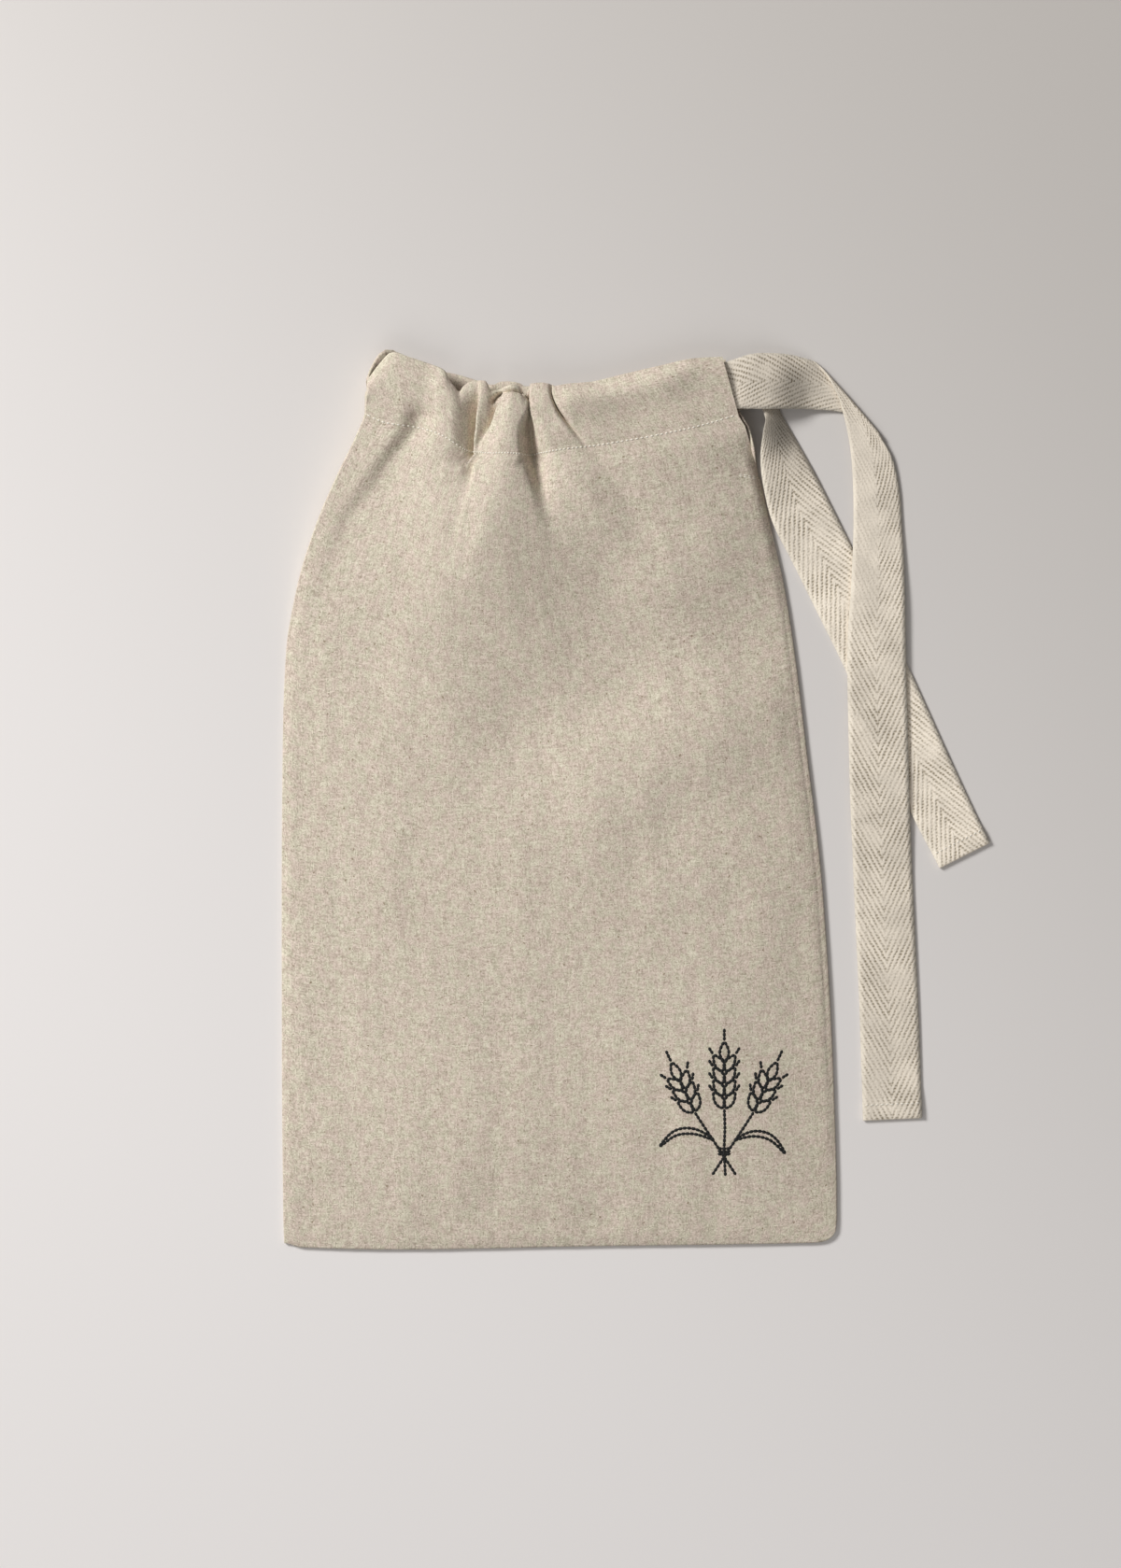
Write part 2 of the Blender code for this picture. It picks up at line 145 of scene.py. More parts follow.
def spline(before: Vector, start: Vector, end: Vector, after: Vector, share: float) -> Vector:
    """Blend four points into one on a Catmull-Rom curve.

    Args:
        before: the point before the stretch.
        start: its start.
        end: its end.
        after: the point after it.
        share: how far along the stretch.

    Returns:
        The point on the curve.
    """
    bend = start * 2.0 + (end - before) * share
    bend += (before * 2.0 - start * 5.0 + end * 4.0 - after) * share ** 2
    bend += (start * 3.0 - before - end * 3.0 + after) * share ** 3
    return bend * 0.5


def rounded(rows: Sequence[Sequence[Vector]], steps: int) -> Rows:
    """Read rows of points off smooth curves through the given rows.

    Args:
        rows: the rows, all of one length.
        steps: new rows for each stretch between two given ones.

    Returns:
        The new rows, with the last given one at their end.
    """
    dense = []
    for i in range(len(rows) - 1):
        four = (rows[max(i - 1, 0)], rows[i], rows[i + 1], rows[min(i + 2, len(rows) - 1)])
        for step in range(steps):
            dense.append([spline(*near, step / steps) for near in zip(*four)])
    return dense + [[point.copy() for point in rows[-1]]]


# -------- tables of the bag (mm)
class Outline(NamedTuple):
    """Side outline of the bag at one height, from the bottom up to the rim."""

    y: float
    left_x: float
    right_x: float


class Bottom(NamedTuple):
    """The bottom edge at one place across the flat cloth."""

    flat: float
    y: float


class Gather(NamedTuple):
    """One place across the gathered casing, from the left fold to the slit."""

    flat: float
    rim_x: float
    rim_y: float
    back_rim_x: float
    back_rim_y: float
    stitch_x: float
    stitch_y: float


class Pleat(NamedTuple):
    """A crest, floor or brink of the gathers, drawn downwards as x, y and height."""

    name: str
    line: tuple[tuple[float, float, float], ...]


class Overlap(NamedTuple):
    """How far a pleat's edge leans to the left over its neighbour, as places along and leans."""

    pleat: str
    reach: float
    leans: tuple[Pair, ...]


class Fold(NamedTuple):
    """One ridge or valley pressed in the cloth, along a line seen from above.

    rises is the height along the line, left and right are the reach to each side of its
    direction, and crisp is 0 for a round fold and 1 for one with a sharp line.
    """

    name: str
    line: tuple[Pair, ...]
    rises: tuple[float, ...]
    left: float
    right: float
    crisp: float = 0.0


class Swell(NamedTuple):
    """A soft swell or hollow of the front panel."""

    name: str
    x: float
    y: float
    reach_x: float
    reach_y: float
    rise: float

    def rise_at(self, x: float, y: float) -> float:
        """Work out the height that it adds at a place.

        Args:
            x: place across the bag.
            y: place along the bag.

        Returns:
            The height in mm, below zero in a hollow.
        """
        away = math.hypot((x - self.x) / self.reach_x, (y - self.y) / self.reach_y)
        return self.rise * (1.0 - smooth(away)) if away < 1.0 else 0.0


class Crumple(NamedTuple):
    """Small uneven crumples of the cloth, stretched along x or y where that is below 1."""

    rise: float
    across: float
    along: float
    size: float
    seed: float

    def rise_at(self, x: float, y: float) -> float:
        """Work out the height that they add at a place in mm."""
        return self.rise * ripple(x * self.across, y * self.along, self.size, self.seed)


OUTLINE = (
    Outline(-200.0, -124.8, 123.8),
    Outline(-195.0, -125.0, 125.4),
    Outline(-188.0, -125.2, 126.0),
    Outline(-120.0, -125.8, 124.3),
    Outline(-40.0, -125.9, 119.6),
    Outline(30.0, -125.4, 111.6),
    Outline(68.0, -124.0, 106.9),
    Outline(98.0, -119.0, 102.2),
    Outline(127.0, -110.0, 95.7),
    Outline(150.0, -100.0, 90.4),
    Outline(166.0, -92.2, 85.6),
    Outline(177.0, -88.2, 82.0),
    Outline(187.0, -87.7, 78.9),
    Outline(191.5, -87.0, 77.6),
    Outline(195.5, -85.5, 76.4),
    Outline(199.5, -83.7, 75.2),
    Outline(203.4, -80.8, 74.0),
    Outline(206.0, -77.2, 73.2),
)

BOTTOM = (
    Bottom(0.0, -199.6),
    Bottom(8.0, -201.4),
    Bottom(50.0, -202.4),
    Bottom(140.0, -200.9),
    Bottom(240.0, -199.4),
    Bottom(244.5, -199.1),
    Bottom(247.2, -198.3),
    Bottom(249.0, -196.8),
    Bottom(250.0, -194.4),
)

GATHERS = (
    Gather(0.0, -87.6, 187.2, -87.6, 187.2, -88.0, 176.5),
    Gather(5.0, -87.0, 191.4, -87.8, 191.9, -83.8, 173.9),
    Gather(9.0, -84.3, 194.8, -86.0, 195.6, -80.6, 172.4),
    Gather(13.0, -81.6, 198.3, -84.4, 199.0, -77.0, 171.2),
    Gather(17.0, -78.9, 201.4, -82.2, 202.8, -73.2, 170.5),
    Gather(20.0, -76.5, 203.7, -79.6, 205.2, -70.3, 170.1),
    Gather(23.0, -74.0, 204.2, -76.6, 206.3, -67.6, 169.9),
    Gather(28.0, -69.6, 202.6, -69.8, 202.4, -63.2, 169.2),
    Gather(36.0, -61.8, 200.0, -61.8, 199.2, -57.0, 167.4),
    Gather(46.0, -51.9, 195.8, -51.7, 196.0, -50.4, 164.2),
    Gather(50.0, -50.2, 192.4, -49.8, 195.8, -47.8, 162.6),
    Gather(56.0, -45.3, 186.4, -45.6, 194.9, -44.2, 160.4),
    Gather(62.0, -43.0, 189.0, -42.6, 193.9, -42.0, 159.2),
    Gather(70.0, -38.3, 191.5, -38.3, 192.6, -39.0, 158.4),
    Gather(78.0, -33.7, 191.3, -33.7, 191.2, -36.0, 158.0),
    Gather(86.0, -30.7, 186.9, -30.3, 190.0, -33.0, 157.6),
    Gather(92.0, -27.8, 187.5, -27.8, 191.5, -30.0, 157.4),
    Gather(98.0, -24.4, 188.6, -24.4, 192.0, -27.0, 157.4),
    Gather(104.0, -21.0, 189.5, -21.0, 191.7, -23.6, 157.4),
    Gather(112.0, -18.0, 188.3, -17.6, 190.9, -19.6, 157.2),
    Gather(120.0, -15.5, 184.7, -15.5, 189.6, -15.6, 157.2),
    Gather(126.0, -13.8, 187.3, -13.8, 189.6, -13.0, 157.3),
    Gather(132.0, -12.1, 189.9, -12.1, 190.0, -10.4, 157.6),
    Gather(142.0, -7.8, 190.2, -7.8, 189.8, -6.0, 158.0),
    Gather(154.0, -3.4, 189.4, -3.4, 189.4, 1.6, 159.3),
    Gather(160.0, -1.9, 188.8, -1.9, 189.0, 6.2, 159.9),
    Gather(172.0, 4.0, 189.8, 4.0, 189.4, 15.6, 161.0),
    Gather(190.0, 14.2, 190.7, 14.2, 190.3, 31.0, 163.5),
    Gather(208.0, 27.8, 193.9, 27.8, 193.4, 47.2, 166.4),
    Gather(226.0, 45.1, 197.9, 45.1, 197.4, 62.0, 169.6),
    Gather(240.0, 62.1, 201.5, 62.1, 201.0, 73.6, 172.9),
    Gather(250.0, 74.0, 202.1, 74.0, 202.0, 81.2, 175.4),
)

PLEATS = (
    Pleat("left edge", (
        (-89.2, 207.2, 0.5), (-87.9, 178.4, 0.5), (-105.3, 140.3, 0.2), (-115.0, 111.4, 0),
        (-122.7, 81.8, 0), (-125.2, 42.8, 0), (-126.1, 8.9, 0))),
    Pleat("left face", (
        (-72.2, 207.2, 0.9), (-72.5, 186.0, 1.0), (-71.0, 178.4, 1.2), (-72.6, 172.0, 1.3),
        (-77.5, 164.0, 1.2), (-84.5, 154.2, 1.0), (-90.0, 146.6, 0.9), (-101.0, 131.0, 0.5),
        (-112.1, 106.4, 0.2), (-119.7, 68.2, 0), (-123.9, 8.9, 0))),
    Pleat("soft valley", (
        (-60.4, 207.2, 0.5), (-61.0, 186.0, 0.5), (-62.4, 180.5, 0.1), (-63.4, 175.4, -2.0),
        (-66.2, 167.8, -2.1), (-71.5, 161.4, -1.8), (-76.5, 154.2, -1.5), (-81.0, 146.6, -1.2),
        (-86.0, 139.4, -0.9), (-93.0, 130.9, -0.6), (-100.2, 113.0, -0.3), (-111.7, 76.7, 0),
        (-122.2, 8.9, 0))),
    Pleat("left pleat", (
        (-53.6, 207.2, 1.2), (-52.4, 193.2, 1.6), (-52.2, 182.6, 2.2), (-52.0, 167.8, 2.5),
        (-52.6, 158.0, 2.2), (-56.0, 147.0, 1.6), (-64.6, 130.0, 0.9), (-73.9, 110.6, 0.4),
        (-88.3, 68.2, 0), (-113.8, 8.9, 0))),
    Pleat("notch brink", (
        (-49.5, 207.2, 1.2), (-49.2, 184.7, 2.1), (-49.4, 174.2, 2.6), (-49.6, 163.6, 2.6),
        (-50.4, 153.0, 2.1), (-52.4, 145.0, 1.8), (-57.4, 130.0, 1.3), (-65.0, 110.6, 0.6),
        (-81.6, 68.2, 0), (-110.5, 8.9, 0))),
    Pleat("notch face", (
        (-42.6, 207.2, 0.8), (-42.4, 189.0, 0.6), (-42.4, 182.6, -0.6), (-42.0, 174.2, -1.7),
        (-42.2, 165.7, -1.9), (-43.2, 158.1, -0.4), (-45.0, 151.0, 1.7), (-48.8, 133.9, 1.7),
        (-57.0, 110.6, 0.7), (-75.6, 68.2, 0), (-107.4, 8.9, 0))),
    Pleat("notch floor", (
        (-37.0, 207.2, 0.4), (-36.6, 189.0, -0.4), (-36.4, 184.0, -2.6), (-36.6, 178.4, -5.6),
        (-36.8, 170.0, -7.4), (-37.4, 162.0, -6.8), (-38.2, 156.0, -4.2), (-39.4, 150.0, -0.4),
        (-43.0, 140.0, 1.9), (-51.1, 110.6, 0.8), (-71.4, 68.2, 0), (-105.3, 8.9, 0))),
    Pleat("pleat edge", (
        (-35.8, 207.2, 1.4), (-34.9, 189.0, 1.0), (-34.7, 182.6, 1.2), (-35.0, 174.2, 0.6),
        (-35.9, 165.7, 0.0), (-36.7, 158.1, 0.8), (-37.9, 149.6, 2.4), (-40.9, 138.0, 2.6),
        (-47.7, 110.6, 1.0), (-67.2, 68.2, 0), (-101.1, 8.9, 0))),
    Pleat("tuck floor", (
        (-24.8, 207.2, 1.0), (-25.6, 187.3, -0.6), (-28.4, 178.4, -2.8), (-30.6, 172.0, -3.4),
        (-33.3, 166.5, -2.6), (-35.2, 161.4, -0.2), (-36.2, 153.0, 2.2), (-37.9, 140.3, 3.2),
        (-41.7, 127.5, 2.2), (-46.8, 106.4, 1.0), (-62.9, 68.2, 0), (-96.8, 8.9, 0))),
    Pleat("ridge edge", (
        (-23.9, 207.2, 1.8), (-24.6, 187.3, 1.8), (-27.2, 178.4, 1.4), (-29.4, 172.0, 1.0),
        (-32.2, 166.5, 0.6), (-34.3, 161.4, 1.2), (-35.0, 153.0, 2.6), (-36.2, 140.3, 3.6),
        (-39.2, 127.5, 2.6), (-44.3, 106.4, 1.0), (-58.7, 68.2, 0), (-92.6, 8.9, 0))),
    Pleat("big ridge", (
        (-21.0, 207.2, 4.4), (-21.0, 189.0, 4.6), (-21.4, 178.4, 5.0), (-21.8, 169.9, 5.4),
        (-22.7, 161.4, 5.5), (-24.4, 150.8, 5.4), (-27.3, 136.0, 4.6), (-33.3, 123.3, 3.2),
        (-39.6, 106.4, 1.4), (-50.2, 68.2, 0), (-84.1, 8.9, 0))),
    Pleat("ridge shoulder", (
        (-15.6, 207.2, 3.6), (-14.9, 189.0, 3.9), (-14.7, 182.6, 3.8), (-15.2, 177.0, 3.8),
        (-17.8, 172.5, 4.6), (-19.4, 168.0, 5.0), (-19.2, 160.0, 5.0), (-17.0, 153.0, 4.2),
        (-14.6, 146.6, 3.2), (-12.5, 136.0, 3.0), (-10.0, 123.3, 2.2), (-8.7, 102.1, 0.8), (-16.3, 68.2, 0),
        (-50.2, 8.9, 0))),
    Pleat("deep valley", (
        (-13.3, 207.2, 1.6), (-13.2, 186.0, 0.8), (-13.2, 180.0, -1.4), (-13.0, 174.0, -4.8),
        (-12.6, 168.0, -6.8), (-12.0, 160.0, -6.9), (-11.0, 153.0, -5.8), (-9.4, 147.0, -3.8),
        (-6.8, 139.0, -0.6), (-2.8, 123.3, 1.2), (0.6, 102.1, 0.6), (-3.6, 68.2, 0), (-41.7, 8.9, 0))),
    Pleat("valley wall", (
        (-12.5, 207.2, 2.2), (-12.3, 184.7, 2.4), (-12.0, 178.4, 2.4), (-10.9, 172.0, 1.8),
        (-8.8, 163.6, 1.0), (-6.0, 155.1, 0.6), (-3.4, 147.0, 0.8), (-0.3, 138.0, 1.5), (4.9, 123.3, 1.6),
        (8.3, 102.1, 0.6), (4.9, 68.2, 0), (-33.3, 8.9, 0))),
    Pleat("round ridge", (
        (-8.3, 207.2, 2.8), (-8.3, 189.8, 3.0), (-8.0, 178.4, 3.4), (-6.2, 167.8, 3.4), (0.0, 157.2, 3.2),
        (8.0, 146.6, 3.2), (16.4, 133.9, 3.0), (22.9, 121.2, 2.0), (26.9, 102.1, 0.8), (21.8, 68.2, 0),
        (-16.3, 8.9, 0))),
    Pleat("crease brink", (
        (-5.6, 207.2, 2.8), (-5.2, 187.0, 2.8), (-3.2, 180.1, 2.9), (-0.6, 175.6, 2.8), (2.6, 171.5, 2.5),
        (7.6, 165.0, 2.1), (12.2, 159.0, 2.0), (20.0, 148.5, 1.8), (28.0, 137.0, 1.3), (36.0, 122.0, 0.7),
        (42.0, 102.0, 0.3), (38.0, 68.2, 0), (-2.0, 8.9, 0))),
    Pleat("crease floor", (
        (-4.0, 207.2, 2.0), (-3.4, 187.0, 0.4), (-0.9, 180.1, -2.6), (1.7, 175.6, -3.2), (4.6, 171.5, -1.4),
        (9.4, 165.2, 0.6), (14.6, 159.4, 1.4), (22.4, 149.4, 1.2), (31.0, 138.0, 0.9), (39.0, 122.5, 0.5),
        (46.0, 102.1, 0.2), (41.0, 68.2, 0), (0.6, 8.9, 0))),
    Pleat("crease lip", (
        (-3.0, 207.2, 2.4), (-2.5, 187.0, 2.2), (0.1, 180.1, 1.6), (3.0, 175.6, 1.4), (6.2, 171.5, 1.3),
        (11.6, 165.4, 1.2), (17.4, 159.8, 1.3), (26.4, 150.0, 1.3), (35.0, 139.0, 0.9), (43.4, 123.5, 0.5),
        (50.2, 102.1, 0.2), (45.1, 68.2, 0), (5.1, 8.9, 0))),
    Pleat("right flat", (
        (26.1, 207.2, 1.0), (27.8, 178.4, 0.8), (36.2, 162.0, 1.0), (49.8, 136.0, 0.8), (60.0, 114.8, 0.3),
        (60.0, 68.2, 0), (17.6, 8.9, 0))),
    Pleat("light gap", (
        (52.3, 207.2, 1.2), (53.2, 178.4, 1.2), (61.7, 153.0, 0.8), (72.7, 119.1, 0.2), (72.7, 68.2, 0),
        (43.0, 8.9, 0))),
    Pleat("slit side", (
        (80.3, 207.2, 0), (85.4, 165.7, 0), (100.6, 110.6, 0), (107.4, 68.2, 0), (115.0, 8.9, 0))),
)

# Broad folds of the panel, each drawn downwards.
FOLDS = (
    Fold("shoulder", ((-22.0, 160.0), (-24.0, 146.0), (-27.5, 133.0), (-33.0, 119.0), (-42.0, 104.0),
                      (-54.0, 89.0), (-70.0, 73.0), (-88.0, 60.0)),
         (0.0, 2.2, 5.4, 7.4, 7.6, 5.8, 3.2, 0.4), 68.0, 60.0),
    Fold("middle", ((106.6, 42.8), (76.9, 32.2), (47.2, 19.5), (21.8, 0.4), (0.6, -20.8), (-16.3, -42.0)),
         (0.8, 2.4, 3.0, 2.4, 1.2, 0.0), 34.0, 40.0),
    Fold("under the slit", ((93.9, 127.5), (68.4, 114.8), (43.0, 102.1), (21.8, 93.6)),
         (0.4, 1.6, 1.4, 0.0), 34.0, 26.0),
    Fold("waist", ((98.0, 72.0), (43.0, 66.0), (-12.0, 36.0), (-38.0, 10.0), (-60.0, -12.0)),
         (-1.0, -1.8, -1.6, -0.9, 0.0), 30.0, 34.0),
    Fold("lower right", ((88.0, -14.0), (60.0, -28.0), (30.0, -48.0)),
         (0.0, 0.9, 0.0), 26.0, 30.0),
    Fold("left tuck", ((-65.0, 175.8), (-60.0, 174.8), (-55.4, 174.2)),
         (-0.2, -1.2, -0.3), 4.0, 2.4, 0.4),
)

# Where one pleat leans over the floor beside it, by how much at each place along the bag.
OVERLAPS = (
    Overlap("pleat edge", 3.6, (
        (148.0, 0.0), (154.0, 1.0), (164.0, 2.3), (176.0, 2.3), (182.0, 1.3), (189.0, 0.2))),
    Overlap("ridge edge", 3.0, (
        (161.0, 0.0), (166.5, 0.8), (172.0, 1.2), (178.0, 1.1), (187.0, 0.4), (190.0, 0.0))),
    Overlap("valley wall", 3.0, (
        (164.0, 0.0), (172.0, 0.2), (176.0, 0.8), (180.0, 1.1), (185.0, 0.9), (190.0, 0.3))),
    Overlap("crease lip", 2.4, (
        (164.0, 0.0), (169.0, 0.5), (174.0, 0.9), (180.0, 0.9), (186.0, 0.4), (189.0, 0.0))),
)

SWELLS = (
    Swell("middle", 12.0, -30.0, 66.0, 84.0, 0.9),
    Swell("lower right", 66.0, -110.0, 48.0, 60.0, 1.0),
    Swell("foot", -16.0, -132.0, 90.0, 44.0, 1.0),
    Swell("foot dip", -37.5, -186.0, 16.0, 16.0, -0.9),
    Swell("foot dip right", 18.0, -188.0, 18.0, 14.0, -0.9),
    Swell("foot dip left", -110.0, -178.0, 18.0, 14.0, -0.8),
)

FRONT_CRUMPLES = (Crumple(0.3, 1.0, 0.35, 20.0, 1.0), Crumple(0.07, 1.0, 0.5, 11.0, 2.0))
SEAM_CRUMPLE = Crumple(0.1, 0.3, 1.0, 9.0, 5.0)
FOOT_CRUMPLE = Crumple(0.12, 1.0, 0.3, 9.0, 6.0)
BACK_CRUMPLE = Crumple(0.3, 1.0, 1.0, 20.0, 9.0)


class PleatField:
    """The height of the gathered front, read between its pleat lines."""

    low: float = 9.0  # mm: the pleats have died away below this place along the bag
    high: float = 206.0
    step: float = 1.5  # mm between two sections
    apart: float = 0.35  # mm that two pleat lines keep between them
    wall: float = 0.9  # mm over which a leaning edge turns under

    def __init__(self, pleats: Sequence[Pleat], overlaps: Sequence[Overlap]) -> None:
        """Work out sections across the gathers.

        Args:
            pleats: the lines from left to right.
            overlaps: the edges that lean over their neighbours.
        """
        self.paths = {}
        for pleat in pleats:
            xs, ys, rises = zip(*reversed(pleat.line))
            self.paths[pleat.name] = (Curve(ys, xs), Curve(ys, rises))
        count = int((self.high - self.low) / self.step) + 2
        self.sections = [self.section(self.low + i * self.step) for i in range(count)]
        self.leaning = [(self.paths[overlap.pleat][0], Curve(*zip(*overlap.leans)), overlap.reach)
                        for overlap in overlaps]

    def section(self, y: float) -> Curve:
        """Draw the height across the gathers at one place along the bag.

        Args:
            y: place along the bag.

        Returns:
            The curve of heights.
        """
        places, rises = [], []
        for across, rise in self.paths.values():
            place = across(y)
            places.append(max(place, places[-1] + self.apart) if places else place)
            rises.append(rise(y))
        return Curve(places, rises)

    def rise_at(self, x: float, y: float) -> float:
        """Work out the height that the pleats add at a place.

        Args:
            x: place across the bag.
            y: place along the bag.

        Returns:
            The height in mm, below zero in a valley.
        """
        spot = (y - self.low) / self.step
        if spot <= 0.0:
            return 0.0
        i = min(int(spot), len(self.sections) - 2)
        return mix(self.sections[i](x), self.sections[i + 1](x), min(1.0, spot - i))

    def lean_at(self, x: float, y: float) -> float:
        """Work out how far an overlap carries a place to the left.

        Args:
            x: place across the bag.
            y: place along the bag.

        Returns:
            The distance in mm.
        """
        lean = 0.0
        for edge, leans, reach in self.leaning:
            away = x - edge(y)
            if -self.wall < away < reach:
                share = 1.0 - smooth(away / reach) if away > 0.0 else smooth(1.0 + away / self.wall)
                lean = max(lean, share * leans(y))
        return lean


class Line:
    """The plan line of a fold, ready to be measured from."""

    def __init__(self, fold: Fold) -> None:
        """Keep the line's stretches and the box that the fold can reach.

        Args:
            fold: the fold.
        """
        self.fold = fold
        self.stretches = list(zip(fold.line, fold.line[1:], fold.rises, fold.rises[1:]))
        reach = max(fold.left, fold.right)
        xs, ys = zip(*fold.line)
        self.low = (min(xs) - reach, min(ys) - reach)
        self.high = (max(xs) + reach, max(ys) + reach)

    def rise_at(self, x: float, y: float) -> float:
        """Work out the height that the fold adds at a place.

        Args:
            x: place across the bag.
            y: place along the bag.

        Returns:
            The height in mm, below zero for a valley.
        """
        if not (self.low[0] < x < self.high[0] and self.low[1] < y < self.high[1]):
            return 0.0
        best, side, rise = math.inf, 0.0, 0.0
        for (x0, y0), (x1, y1), start, end in self.stretches:
            dx, dy = x1 - x0, y1 - y0
            share = min(1.0, max(0.0, ((x - x0) * dx + (y - y0) * dy) / (dx * dx + dy * dy)))
            away_x, away_y = x - x0 - share * dx, y - y0 - share * dy
            away = away_x * away_x + away_y * away_y
            if away < best:
                best, rise = away, mix(start, end, share)
                side = dx * away_y - dy * away_x
        near = math.sqrt(best) / (self.fold.left if side > 0.0 else self.fold.right)
        if near >= 1.0:
            return 0.0
        return rise * mix(1.0 - smooth(near), (1.0 - near) ** 2, self.fold.crisp)


# -------- shape of the bag
class RowKind(Enum):
    """The four stretches of a column of cloth, from the bottom to the raw edge of the hem."""

    PANEL = "panel"
    CASING = "casing"
    RIM = "rim"
    HEM = "hem"


class Row(NamedTuple):
    """One row of the cloth: its stretch, its share of that, and its length along the cut."""

    kind: RowKind
    share: float
    along: float


class Column(NamedTuple):
    """One column of the cloth.

    flat is the place across a flat panel, from the left fold, turn is 1 on the front and 0 on
    the back, and across is the length across the cut.
    """

    flat: float
    turn: float
    across: float


def spaced(first: float, step: float, count: int) -> list[float]:
    """List evenly spaced places."""
    return [first + step * i for i in range(count)]


# mm up from the bottom, shares of the casing from the stitch line, of the rim's turn and of the
# hem, which is counted as the casing is, and mm across the flat panel from the left fold
PANEL_ROWS = (0.0, 0.5, 1.1, 1.9, 3.0, 4.5, 6.5, 9.0, *spaced(12.0, 4.2, 49), *spaced(216.3, 2.7, 53))
CASING_ROWS = (*spaced(0.0, 0.06, 12), *spaced(0.7, 0.3 / 11.0, 12))
RIM_ROWS = spaced(1.0 / 6.0, 1.0 / 6.0, 5)
HEM_ROWS = spaced(1.0, -0.97 / 8.0, 9)
SLIT_COLUMNS = (243.4, 244.8, 245.8, 246.6, 247.2, 247.7, 248.2, 248.7, 249.2, 249.7, 250.0)
BACK_COLUMNS = (*spaced(0.0, 3.0, 13), *spaced(41.8, 5.8, 34),
                237.0, 239.5, 241.5, 243.0, 244.5, 246.0, 247.2, 248.2, 249.1, 250.0)


